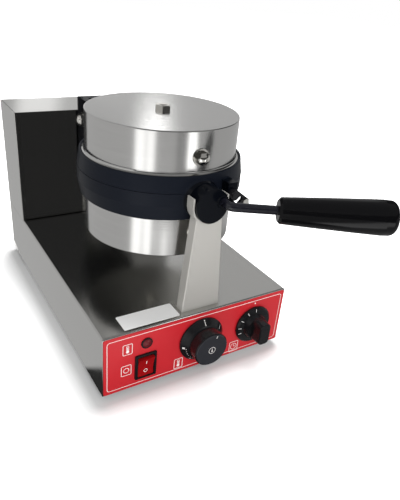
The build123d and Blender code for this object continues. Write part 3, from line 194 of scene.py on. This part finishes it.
def brushed(finish, lay, colour, slope=0.05, rough=0.16, shadow_line=None):
    """Fine parallel scratches along one axis, on a finish.

    Noise, fine across the scratches and drawn out along them, moves the gloss, the tone and the
    slope, and the same noise on a broader scale goes with it. A shadow line is the height below
    which the sheet is painted dark, a painted shadow where it meets another one.
    """
    x, y, z = finish.place()
    sx, sy, sz = [ALONG if step else ACROSS for step in lay]
    fine = finish.noise(finish.vector(x * sx, y * sy, z * sz))
    broad = finish.noise(finish.vector(x * sx * BROAD, y * sy * BROAD, z * sz * BROAD), detail=3.0)
    finish.feed("Roughness", 0.10 * fine + (rough - 0.05) + 0.05 * broad)
    tone = finish.mix(clamp(fine * 0.5 + broad * 0.5), shaded(colour, 0.94), colour)
    # Below the shadow line the sheet gets a painted shadow.
    finish.feed("Base Color", tone if shadow_line is None else finish.mix(z > shadow_line, PAINTED_SHADOW_DARK, tone))
    finish.scratch(finish.vector(*map(float, lay)), (fine - 0.5) * slope)
    return finish


case_steel = Finish("case_steel", SHEET, 0.2, metallic=1.0)
brushed(case_steel, (0, 1, 0), SHEET).on("base_housing")
bare_sheet = Finish("bare_sheet", (0.50, 0.50, 0.49), 0.42, metallic=1.0)
bare_sheet.on("base_floor", "bearing_bracket")
foot_rubber = Finish("foot_rubber", (0.018, 0.018, 0.018), 0.7)
foot_rubber.on("feet")

# Blank plate: a small white plate, glued flat on the deck behind the panel's left end.
# It is thin plastic, cut with rounded corners and a fine bevel round its top.
PLATE_MIDDLE = (-62.3 * MM, -177.0 * MM)
PLATE_HALF = (34.7 * MM, 12.8 * MM)
PLATE_CORNER = 1.5 * MM
PLATE_THICK = 0.5 * MM
PLATE_EDGE = 0.12 * MM
deck_low, deck_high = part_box("base_housing")
deck_z = deck_high.z


def add_mesh(name, points, faces, body, smooth=True):
    """A mesh piece on a CAD body, from its points and faces."""
    mesh = bpy.data.meshes.new(name)
    mesh.from_pydata(np.asarray(points, float).tolist(), [], [tuple(map(int, f)) for f in faces])
    mesh.validate()
    if smooth:
        mesh.polygons.foreach_set("use_smooth", np.ones(len(mesh.polygons), bool))
    piece = bpy.data.objects.new(name, mesh)
    bpy.context.scene.collection.objects.link(piece)
    if body:
        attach(piece, body)
    return piece


def grid_faces(rows, columns, close_columns=False):
    """The quads between neighbouring rows and columns of points that are stored row by row."""
    across = columns if close_columns else columns - 1
    i, j = np.meshgrid(np.arange(rows - 1), np.arange(across), indexing="ij")
    this, after = i * columns, (j + 1) % columns
    quads = [this + j, this + after, this + columns + after, this + columns + j]
    return np.stack(quads, -1).reshape(-1, 4)


def rounded_outline(half_width, half_height, corner, steps=8):
    """A rectangle, anticlockwise: each round corner is its centre plus a quarter circle."""
    turns = np.linspace(0, math.pi / 2, steps)
    start = np.arange(4)[:, None] * math.pi / 2 + turns
    sign_x = np.array([1, -1, -1, 1])[:, None]
    sign_y = np.array([1, 1, -1, -1])[:, None]
    x = sign_x * (half_width - corner) + corner * np.cos(start)
    y = sign_y * (half_height - corner) + corner * np.sin(start)
    return np.stack([x.ravel(), y.ravel()], -1)


def plate_surface(outline, edge, base, thick):
    """A plate's shell: the outline at the base and at the edge's foot, then drawn in on top."""
    middle = outline.mean(0)
    inward = (outline - middle) * (1 - edge / np.abs(outline - middle).max(0))
    rings = [(outline, base), (outline, base + thick - edge), (middle + inward, base + thick)]
    points = np.concatenate([np.column_stack([o, np.full(len(o), h)]) for o, h in rings])
    count = len(outline)
    faces = [tuple(f) for f in grid_faces(len(rings), count, close_columns=True)]
    faces += [tuple(range(2 * count, 3 * count)), tuple(range(count))[::-1]]
    return points, faces


outline = rounded_outline(*PLATE_HALF, PLATE_CORNER) + np.array(PLATE_MIDDLE)
plate_shell = plate_surface(outline, PLATE_EDGE, deck_z, PLATE_THICK)
blank_plate = add_mesh("blank_plate", *plate_shell, "frame", smooth=False)
plate_white = Finish("plate_white", (0.94, 0.94, 0.93), 0.25)
plate_white.on(blank_plate)

# Control panel: a thin steel plate in glossy red enamel, fixed on the casing's front.
# A fine white line runs round it, and small white pictures stand by the lamp, switch and knobs.
PANEL_RED = (0.55, 0.020, 0.028)
PRINT_WHITE = (0.88, 0.86, 0.84)
LINE_INSET = 4.2 * MM
LINE_WIDTH = 0.7 * MM
LINE_CORNER = 3.5 * MM
TIMER_TICK = (78.4 * MM, 78.0 * MM)
panel_low, panel_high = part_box("control_panel")


def box_edge(u, v, half_width, half_height, corner=0.0):
    """How far a point lies outside a rectangle with round corners; it is negative inside.

    Outside it is the length of what the point is past each side, and inside the larger of the two.
    """
    du = abs(u) - (half_width - corner)
    dv = abs(v) - (half_height - corner)
    outside = (clamp(du, 0.0, 9.0) ** 2.0 + clamp(dv, 0.0, 9.0) ** 2.0) ** 0.5
    return outside + du.math("MAXIMUM", dv).math("MINIMUM", 0.0) - corner


def disc_edge(u, v, radius):
    """How far a point lies outside a circle; it is negative inside."""
    return (u * u + v * v) ** 0.5 - radius


def filled(edge, soft=0.12 * MM):
    """1 inside an edge and 0 outside it."""
    return clamp(edge * (-1.0 / soft) + 0.5)


def drawn(edge, width, soft=0.12 * MM):
    """A line of one width along an edge."""
    return filled(abs(edge) - width / 2, soft)


def together(*inks):
    """The strongest of several inks."""
    whole = inks[0]
    for ink in inks[1:]:
        whole = whole.math("MAXIMUM", ink)
    return whole


def thermometer(u, v):
    """A round-cornered frame round a thermometer: a bulb, a tube and its column."""
    return together(
        drawn(box_edge(u, v, 5.6 * MM, 7.0 * MM, 1.4 * MM), 0.7 * MM),
        filled(disc_edge(u, v + 3.0 * MM, 1.9 * MM)),
        drawn(box_edge(u, v - 1.0 * MM, 1.3 * MM, 4.2 * MM, 1.2 * MM), 0.55 * MM),
        filled(box_edge(u, v, 0.5 * MM, 3.4 * MM, 0.3 * MM)),
    )


def clock(u, v):
    """A round-cornered frame round a dial with two hands."""
    return together(
        drawn(box_edge(u, v, 6.4 * MM, 7.4 * MM, 1.4 * MM), 0.7 * MM),
        drawn(disc_edge(u, v, 4.4 * MM), 0.6 * MM),
        filled(box_edge(u, v - 1.3 * MM, 0.3 * MM, 1.5 * MM)),
        filled(box_edge(u - 1.1 * MM, v, 1.3 * MM, 0.3 * MM)),
    )


def power_ring(u, v):
    """A round-cornered frame round a plain ring."""
    return together(
        drawn(box_edge(u, v, 6.0 * MM, 7.0 * MM, 1.4 * MM), 0.7 * MM),
        drawn(disc_edge(u, v, 3.2 * MM), 0.7 * MM),
    )


PICTURES = (
    (thermometer, -95.6, 65.5),
    (power_ring, -96.8, 36.0),
    (thermometer, -28.5, 21.2),
    (clock, 53.0, 18.8),
)
panel_red = Finish("panel_red", PANEL_RED, 0.3, sockets={"Specular IOR Level": 0.28})
x, y, z = panel_red.place()
u, v = x - (panel_low.x + panel_high.x) / 2, z - (panel_low.z + panel_high.z) / 2
line_half = [(panel_high[axis] - panel_low[axis]) / 2 - LINE_INSET for axis in (0, 2)]
prints = together(
    drawn(box_edge(u, v, *line_half, LINE_CORNER), LINE_WIDTH),
    *[picture(x - across * MM, z - up * MM) for picture, across, up in PICTURES],
    filled(box_edge(x - TIMER_TICK[0], z - TIMER_TICK[1], 0.8 * MM, 1.1 * MM)),
)
panel_red.feed("Base Color", panel_red.mix(prints, PANEL_RED, PRINT_WHITE))
panel_red.on("control_panel")

# Tower: brushed stainless sheets round the bearing, a front and top sheet between two sides.
# The back sheet is screwed on over a louvred opening, and the lead leaves through a plastic gland.
SHADOW_LINE_HEIGHT = 0.9 * MM
tower_steel = Finish("tower_steel", SHEET, 0.2, metallic=1.0)
brushed(tower_steel, (0, 0, 1), SHEET).on("tower_side_left", "tower_side_right", "tower_back")
wrap_steel = Finish("wrap_steel", SHEET, 0.2, metallic=1.0)
# The front sheet is painted dark along its foot, a painted shadow in the gap above the deck.
brushed(wrap_steel, (0, 0, 1), SHEET, shadow_line=deck_z + SHADOW_LINE_HEIGHT).on("tower_wrap")
nylon = Finish("nylon", (0.02, 0.02, 0.021), 0.45)
nylon.on("cable_gland")

# Front post: a folded stainless channel bolted on the deck, with a round seat for the journal.
# The seat is a welded steel shell, ground bright where the journal turns in it.
POST = (0.60, 0.585, 0.55)
post_steel = Finish("post_steel", POST, 0.5, metallic=0.55)
brushed(post_steel, (0, 0, 1), POST, rough=0.46).on("front_post", "post_saddle")

# Waffle plates: thick castings with a ring round the edge, under a smooth satin blue-black coat.
# What stands out of the ring, the journal in front and the lugs, is darker and glossier.
CASTING = (0.0065, 0.0085, 0.0140)
OUTSIDE_RING_FADE = 2.0 * MM
cover_low, cover_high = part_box("upper_cover")
HEAD = ((cover_low.x + cover_high.x) / 2, (cover_low.y + cover_high.y) / 2)
casting_black = Finish("casting_black", CASTING, 0.4, sockets={"Specular IOR Level": 0.12})
x, y, z = casting_black.place()
grain = casting_black.noise(casting_black.vector(x, y, z), scale=900.0, detail=3.0)
casting_black.bump(grain, 0.012 * MM)
ring_low, ring_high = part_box("upper_casting")
ring_reach = (ring_high.x - ring_low.x) / 2
outside_ring = clamp((((x - HEAD[0]) ** 2.0 + (y - HEAD[1]) ** 2.0) ** 0.5 - ring_reach) / OUTSIDE_RING_FADE)
casting_black.feed("Roughness", (0.14 * grain + 0.34) * (1 - outside_ring) + 0.14 * outside_ring)
casting_black.feed("Base Color", casting_black.mix(outside_ring, CASTING, shaded(CASTING, 0.35)))
casting_black.on("upper_casting", "lower_casting", "bearing_housing")

# Covers: spun stainless caps over the heaters, brushed round and round on the lathe.
# Each is held by one nut in the middle and stands in the trough of its plate.
COVER = (0.70, 0.695, 0.68)
FINE_GROOVES, BROAD_GROOVES = 7000.0, 240.0
COVER_FOLD = 5.0 * MM
cover_steel = Finish("cover_steel", COVER, 0.28, metallic=1.0)
x, y, z = cover_steel.place()
across, along = x - HEAD[0], y - HEAD[1]
radius = (across * across + along * along) ** 0.5
turn = along.math("ARCTAN2", across)
rings = cover_steel.noise(cover_steel.vector(radius * FINE_GROOVES, z * FINE_GROOVES, turn * 4.0))
bands = cover_steel.vector(radius * BROAD_GROOVES, z * BROAD_GROOVES, turn * 0.8)
bands = cover_steel.noise(bands, detail=3.0)
tone = clamp(0.55 * rings + 0.45 * bands)
cover_steel.feed("Base Color", cover_steel.mix(tone, shaded(COVER, 0.80), COVER))
lathe_lay = cover_steel.vector(along / radius * -1.0, across / radius, 0.0)
on_top = clamp(((cover_high.x - cover_low.x) / 2 - COVER_FOLD - radius) / MM)
cover_steel.feed("Roughness", 0.08 * rings + 0.03 * on_top + 0.15)
cover_steel.scratch(lathe_lay, (rings - 0.5) * (0.08 * on_top + 0.15))
cover_steel.on("upper_cover", "lower_cover")

# Inside the covers: sheathed heaters pressed on the plates by steel discs, under mineral wool.
# Nothing of them shows while the covers are on.
heater_sheath = Finish("heater_sheath", (0.20, 0.18, 0.16), 0.5, metallic=1.0)
heater_sheath.on("upper_heater", "lower_heater")
WOOL_DARK, WOOL_PALE = (0.55, 0.52, 0.44), (0.78, 0.75, 0.67)
mineral_wool = Finish("mineral_wool", (0.70, 0.67, 0.58), 0.95)
x, y, z = mineral_wool.place()
tufts = mineral_wool.noise(mineral_wool.vector(x, y, z), scale=260.0, detail=5.0)
mineral_wool.feed("Base Color", mineral_wool.mix(tufts, WOOL_DARK, WOOL_PALE))
mineral_wool.bump(tufts, 0.5 * MM)
mineral_wool.on("upper_insulation", "lower_insulation")

# Fasteners: nuts, screws, studs and bolts in bright nickel over steel, turned or cold headed.
# They hold the covers, the sheets of the casing and tower, the post, the hinge and the bearing.
bright_nickel = Finish("bright_nickel", (0.82, 0.80, 0.75), 0.14, metallic=1.0)
bright_nickel.on(
    "upper_cover_nut", "lower_cover_nut", "upper_front_nut", "lower_front_nut", "upper_stud",
    "lower_stud", "foot_screws", "tower_screws", "post_bolts", "lid_arm_screws", "yoke_screws",
    "hinge_nuts", "bearing_bolts", "latch_finger_screw",
)

# Yoke and hinge: the black coated iron block that carries both plates, and the arm of the lid.
# They turn on a hollow ground shaft in a bronze bush, with a stop collar at its end.
YOKE_BLACK = (0.010, 0.0105, 0.013)
yoke_black = Finish("yoke_black", YOKE_BLACK, 0.42, sockets={"Specular IOR Level": 0.25})
x, y, z = yoke_black.place()
pits = yoke_black.noise(yoke_black.vector(x, y, z), scale=500.0, detail=4.0)
yoke_black.feed("Roughness", 0.2 * pits + 0.32)
yoke_black.bump(pits, 0.02 * MM)
yoke_black.on("rear_yoke", "lid_arm")
ground_steel = Finish("ground_steel", (0.56, 0.56, 0.55), 0.22, metallic=1.0)
ground_steel.on("rotor_shaft", "stop_collar", "hinge_bolt", "upper_clamp", "lower_clamp")
bronze = Finish("bronze", (0.52, 0.31, 0.11), 0.34, metallic=1.0)
bronze.on("thrust_washer", "bearing_bush")

# Handle: a black steel rod bent out of the front disc, with a turned phenolic grip on its end.
# The rod is enamelled, and the grip is moulded, polished and pressed on.
rod_enamel = Finish("rod_enamel", (0.007, 0.007, 0.011), 0.2, sockets={"Specular IOR Level": 0.5})
rod_enamel.on("handle_rod")
phenolic = Finish("phenolic", (0.003, 0.003, 0.0035), 0.12, sockets={"Specular IOR Level": 0.18})
phenolic.on("handle_grip")

# Latch: a small black hook on the upper plate, with a bright hexagon for the finger.
# It swings down under the pin of the lower plate and locks the two together.
LATCH_BLACK = (0.009, 0.009, 0.011)
latch_black = Finish("latch_black", LATCH_BLACK, 0.3, sockets={"Specular IOR Level": 0.3})
latch_black.on("latch_lever", "latch_pivot_screw", "latch_pin_stud")

# Pilot lamp and switch: a red lens in a black ring, and a lit red rocker in a black frame.
# The rocker's line and circle are printed in white.
lamp_red = Finish("lamp_red", (0.12, 0.012, 0.016), 0.15, sockets={"Specular IOR Level": 0.3})
lamp_red.on("pilot_lens")
MOULDED_BLACK = (0.008, 0.008, 0.009)
fitting_black = Finish("fitting_black", MOULDED_BLACK, 0.3, sockets={"Specular IOR Level": 0.25})
fitting_black.on("pilot_body", "rocker_frame")
rocker_low, rocker_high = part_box("rocker")
rocker_middle = ((rocker_low.x + rocker_high.x) / 2, (rocker_low.z + rocker_high.z) / 2)
ROCKER_RED = (0.29, 0.004, 0.006)
rocker_red = Finish("rocker_red", ROCKER_RED, 0.25, sockets={"Specular IOR Level": 0.05})
x, y, z = rocker_red.place()
u, v = x - rocker_middle[0], z - rocker_middle[1]
marks = together(
    filled(box_edge(u, v - 6.6 * MM, 0.45 * MM, 2.3 * MM)),
    drawn(disc_edge(u, v + 6.4 * MM, 2.1 * MM), 0.7 * MM),
)
rocker_red.feed("Base Color", rocker_red.mix(marks, ROCKER_RED, PRINT_WHITE))
rocker_red.on("rocker")

# Knobs: black moulded phenolic, polished, with white marks printed on their skirts, and on the
# large one a lighter grey face, which is a painted reflection of the sky. Each is pushed on a
# ground spindle of a control behind the panel.
thermostat_low, thermostat_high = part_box("thermostat_knob")
timer_low, timer_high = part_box("timer_knob")
PAINTED_FACE_SHEEN = (0.026, 0.027, 0.032)
FACE_DEEP = 0.8 * MM
KNOB_WHITE = shaded(PRINT_WHITE, 0.8)
POLISHED = {"Specular IOR Level": 0.25}
TIMER_HOURS = (12, 11, 10, 9.1, 8.4)


def dial(finish, low, high):
    """The x and z of the shaded point from a knob's middle."""
    x, y, z = finish.place()
    return x - (low.x + high.x) / 2, z - (low.z + high.z) / 2


def spoke(u, v, hour, inner, outer, width):
    """A straight mark on a dial, at an hour of the clock and between two radii."""
    turned = hour * math.pi / 6
    out = u * math.sin(turned) + v * math.cos(turned)
    side = u * math.cos(turned) - v * math.sin(turned)
    return filled(box_edge(side, out - (inner + outer) / 2, width / 2, (outer - inner) / 2))


def dot(u, v, hour, reach, radius):
    """A round mark on a dial, at an hour of the clock."""
    turned = hour * math.pi / 6
    return filled(disc_edge(u - reach * math.sin(turned), v - reach * math.cos(turned), radius))


thermostat_black = Finish("thermostat_black", MOULDED_BLACK, 0.22, sockets=POLISHED)
u, v = dial(thermostat_black, thermostat_low, thermostat_high)
marks = together(
    spoke(u, v, 12, 23.4 * MM, 27.2 * MM, 0.9 * MM),
    dot(u, v, 12, 28.2 * MM, 0.6 * MM),
    spoke(u, v, 1.9, 23.6 * MM, 27.8 * MM, 0.7 * MM),
    spoke(u, v, 8.8, 25.6 * MM, 28.0 * MM, 2.6 * MM),
    *[dot(u, v, hour, 24.6 * MM, 0.45 * MM) for hour in np.arange(7.2, 8.8, 0.3)],
    spoke(u, v, 7.2, 26.2 * MM, 28.0 * MM, 1.6 * MM),
    spoke(u, v, 0.55, 16.4 * MM, 19.8 * MM, 0.8 * MM),
    drawn(disc_edge(u, v, 4.3 * MM), 0.6 * MM),
    filled(box_edge(u, v + 1.2 * MM, 0.9 * MM, 1.2 * MM, 0.5 * MM)),
    filled(box_edge(u, v - 1.0 * MM, 0.35 * MM, 1.8 * MM)),
)
x, y, z = thermostat_black.place()
# The cap's front face is painted lighter grey, a painted reflection of the sky.
face_sheen_mask = clamp((thermostat_low.y + FACE_DEEP - y) / (0.2 * MM))
black_with_face_sheen = thermostat_black.mix(face_sheen_mask, MOULDED_BLACK, PAINTED_FACE_SHEEN)
thermostat_black.feed("Base Color", thermostat_black.mix(marks, black_with_face_sheen, KNOB_WHITE))
thermostat_black.on("thermostat_knob")
timer_black = Finish("timer_black", MOULDED_BLACK, 0.22, sockets=POLISHED)
u, v = dial(timer_black, timer_low, timer_high)
marks = together(*[spoke(u, v, hour, 20.4 * MM, 24.2 * MM, 0.8 * MM) for hour in TIMER_HOURS])
timer_black.feed("Base Color", timer_black.mix(marks, MOULDED_BLACK, KNOB_WHITE))
timer_black.on("timer_knob")
ground_steel.on("thermostat_spindle", "timer_spindle")
control_shell = Finish("control_shell", (0.03, 0.03, 0.032), 0.5)
control_shell.on("thermostat_body", "timer_body")
ceramic = Finish("ceramic", (0.80, 0.78, 0.72), 0.4)
ceramic.on("terminal_block")

# Studio: a white floor under a white sky, a large lamp behind on the right and one in front. A
# screen and a dark flag round the head show in gloss alone, and give the steel its streaks.
SKY_LEVEL = 0.40
FLOOR_REACH = 6.0
SCREEN_INNER, SCREEN_OUTER, SCREEN_TALL, SCREEN_LIFT = 0.18, 1.3, 1.5, 0.003
DOME_REACH, DOME_RISE = (1.0, 0.6, 0.02), (0.35, 0.55, 0.65)
DOME_LEVEL, SCREEN_LEVEL, FLAG_LEVEL = 0.24, 0.03, 0.024
FLAG_LEFT, FLAG_RIGHT, FLAG_TOP, FLAG_GAP = -0.124, -0.03, 0.275, 0.006
# How far from the casing's foot the floor's painted shadow holds, and over what distance it fades.
PAINTED_SHADOW_FADE, PAINTED_SHADOW_START = 0.12, 0.06


def shown(graph):
    """1 on the rays that show a thing itself, and 0 on those that gather its light."""
    rays = ("Is Camera Ray", "Is Glossy Ray", "Is Transmission Ray")
    return together(*[graph.node("LightPath", output=ray) for ray in rays])


world = bpy.data.worlds.new("studio")
bpy.context.scene.world = world
world.use_nodes = True
sky = Graph(world.node_tree)
background = next(n for n in sky.tree.nodes if n.type == "BACKGROUND")
background.inputs["Color"].default_value = (1, 1, 1, 1)
sky_level = shown(sky) * (1 - SKY_LEVEL) + SKY_LEVEL
sky.tree.links.new(sky_level.socket, background.inputs["Strength"])

square = np.array([(-1, -1, 0), (1, -1, 0), (1, 1, 0), (-1, 1, 0)]) * FLOOR_REACH
floor = add_mesh("floor", square, [(0, 1, 2, 3)], None, smooth=False)
floor_white = Finish("floor_white", (0.80, 0.80, 0.80), 0.9, sockets={"Specular IOR Level": 0.0})
x, y, z = floor_white.place()
# The floor's glow fades out at the casing's foot: a painted shadow round the base.
foot_x, foot_y = (cad_low[0] + deck_high.x) / 2, (deck_low.y + deck_high.y) / 2
past_foot = box_edge(x - foot_x, y - foot_y, deck_high.x - foot_x, deck_high.y - foot_y)
painted_foot_shadow = clamp(past_foot / -PAINTED_SHADOW_FADE + (1 + PAINTED_SHADOW_START))
floor_white.shader.inputs["Emission Strength"].default_value = 1.0
glow_less_painted_shadow = shown(floor_white) * (1 - painted_foot_shadow * painted_foot_shadow * painted_foot_shadow)
floor_white.feed("Emission Color", floor_white.vector(glow_less_painted_shadow, glow_less_painted_shadow, glow_less_painted_shadow))
floor_white.on(floor)


def screen_surface(rows=40, columns=96):
    """A bowl round the head, with a low dome over it and a small hole in the middle of each.

    Its height stays at the floor near the machine, then rises with the square of the radius.
    """
    turns = np.linspace(-math.pi, math.pi, columns, endpoint=False)
    reach = np.concatenate([np.linspace(0.02, SCREEN_OUTER, rows), DOME_REACH])
    share = np.clip((reach - SCREEN_INNER) / (SCREEN_OUTER - SCREEN_INNER), 0, 1)
    height = SCREEN_LIFT + SCREEN_TALL * share**2
    height[rows:] = SCREEN_TALL + np.array(DOME_RISE)
    rows += len(DOME_REACH)
    reach, height = reach[:, None], np.broadcast_to(height[:, None], (rows, columns))
    right, back = HEAD[0] + reach * np.sin(turns), HEAD[1] - reach * np.cos(turns)
    points = np.stack([right, back, height], -1)
    return points.reshape(-1, 3), grid_faces(rows, columns, close_columns=True)


def glow_of(piece, name):
    """The empty node graph of a glow made for a piece."""
    made = bpy.data.materials.new(name)
    made.use_nodes = True
    made.node_tree.nodes.clear()
    piece.data.materials.append(made)
    return Graph(made.node_tree)


def in_gloss_alone(piece, glow, strength):
    """A piece of the studio that glows at a strength and that only mirrors and gloss can see."""
    emission = glow.node("Emission", {}, {"Color": (1, 1, 1, 1), "Strength": strength})
    glow.node("OutputMaterial", {}, {"Surface": emission})
    for ray in ("camera", "diffuse", "shadow", "transmission", "volume_scatter"):
        setattr(piece, "visible_" + ray, False)


screen = add_mesh("screen", *screen_surface(), None)
glow = glow_of(screen, "screen_glow")
point = glow.node("TexCoord", output=3)
x, y, z = [glow.node("SeparateXYZ", {}, {0: point}, output=i) for i in range(3)]
x, y = x - HEAD[0], y - HEAD[1]
angle = x.math("ARCTAN2", y * -1.0) * (180 / math.pi)
reach = (x * x + y * y) ** 0.5
below = clamp((SCREEN_TALL - z) / 0.1)


def zone(start, end, soft=3.0):
    """1 between two angles round the head, in degrees from the front towards the right."""
    return clamp((angle - start) / soft + 0.5) * clamp((end - angle) / soft + 0.5)


def between(inner, outer, soft=0.03):
    """1 between two circles round the head, and 0 inside the first and outside the second."""
    return clamp((reach - inner) / soft + 0.5) * clamp((outer - reach) / soft + 0.5)


left_streaks = zone(-62, -36, 4.0) * 1.75 - zone(-50, -45, 4.0) * 0.5
front = zone(-36, -8) * 0.50 + zone(-8, 7.5) * 0.30
low_streaks = zone(-36, -3, 8.0) * 0.72 + zone(-22, -14, 5.0) * 0.5
right = between(0.32, 0.70) * 0.42 + between(0.0, 0.32) * 0.24
top_streak = zone(150.4, 155.5, 2.5) * 2.35 - zone(157, 171) * 0.10
tower_streak = zone(159, 172) * 0.12 + zone(172, 180) * 0.58
walls = (
    left_streaks * between(0.28, 0.60)
    + front * between(0.35, 0.60)
    + low_streaks * between(0.20, 0.37)
    + zone(7.5, 19.5) * between(0.34, 0.58) * 2.3
    + zone(19.5, 110) * right
    + (zone(110, 190) + zone(-190, -62)) * 0.47
    - zone(149, 171) * between(0.0, 0.50) * 0.47
    + top_streak * between(0.84, 1.50)
    + tower_streak * between(0.50, 0.84)
)
high_front = zone(-110, 60) * clamp((z - 0.60) / 0.1) * 0.25
level = (walls + high_front - DOME_LEVEL) * below + (DOME_LEVEL + SCREEN_LEVEL)
in_gloss_alone(screen, glow, level)

# The flag stands close in front of the tower's left part and darkens what the steel there mirrors.
flag_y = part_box("tower_wrap")[0].y - FLAG_GAP
flag_low = [(FLAG_LEFT, flag_y, deck_z), (FLAG_RIGHT, flag_y, deck_z)]
flag_points = flag_low + [(FLAG_RIGHT, flag_y, FLAG_TOP), (FLAG_LEFT, flag_y, FLAG_TOP)]
flag = add_mesh("flag", flag_points, [(0, 1, 2, 3)], None, smooth=False)
in_gloss_alone(flag, glow_of(flag, "flag_black"), FLAG_LEVEL)


def lamp(name, place, aim, size, watts):
    """A square soft lamp that looks at a point."""
    light = bpy.data.lights.new(name, "AREA")
    light.shape, light.size, light.energy = "SQUARE", size, watts
    made = bpy.data.objects.new(name, light)
    made.location = place
    made.rotation_euler = (Vector(aim) - Vector(place)).to_track_quat("-Z", "Y").to_euler()
    made.visible_camera = made.visible_glossy = False
    bpy.context.scene.collection.objects.link(made)


lamp("key_lamp", (0.50, 0.50, 1.70), (0, 0, 0.1), 1.0, 30.0)
lamp("fill_lamp", (-0.5, -1.7, 1.1), (0, 0, 0.15), 1.0, 24.0)

# Camera: at the photograph's place, a little above the machine and to its left. Its turn is given
# by the directions that are right, down and forward in the picture.
CAMERA_PLACE = (-0.2849, -0.5986, 0.4357)
CAMERA_RIGHT = (0.85073, -0.51855, 0.08581)
CAMERA_DOWN = (-0.18347, -0.44596, -0.87605)
CAMERA_FORWARD = (0.49255, 0.72953, -0.47453)
FOCAL_PIXELS = 511.43
LONG_SIDE_PIXELS = 500
SENSOR_WIDTH = 36.0
camera_data = bpy.data.cameras.new("camera")
camera_data.sensor_width = SENSOR_WIDTH
camera_data.lens = FOCAL_PIXELS / LONG_SIDE_PIXELS * SENSOR_WIDTH
camera = bpy.data.objects.new("camera", camera_data)
axes = Vector(CAMERA_RIGHT), -Vector(CAMERA_DOWN), -Vector(CAMERA_FORWARD)
camera.matrix_world = Matrix.Translation(CAMERA_PLACE) @ Matrix(axes).transposed().to_4x4()
bpy.context.scene.collection.objects.link(camera)
bpy.context.scene.camera = camera
bpy.context.scene.view_settings.view_transform = "Standard"
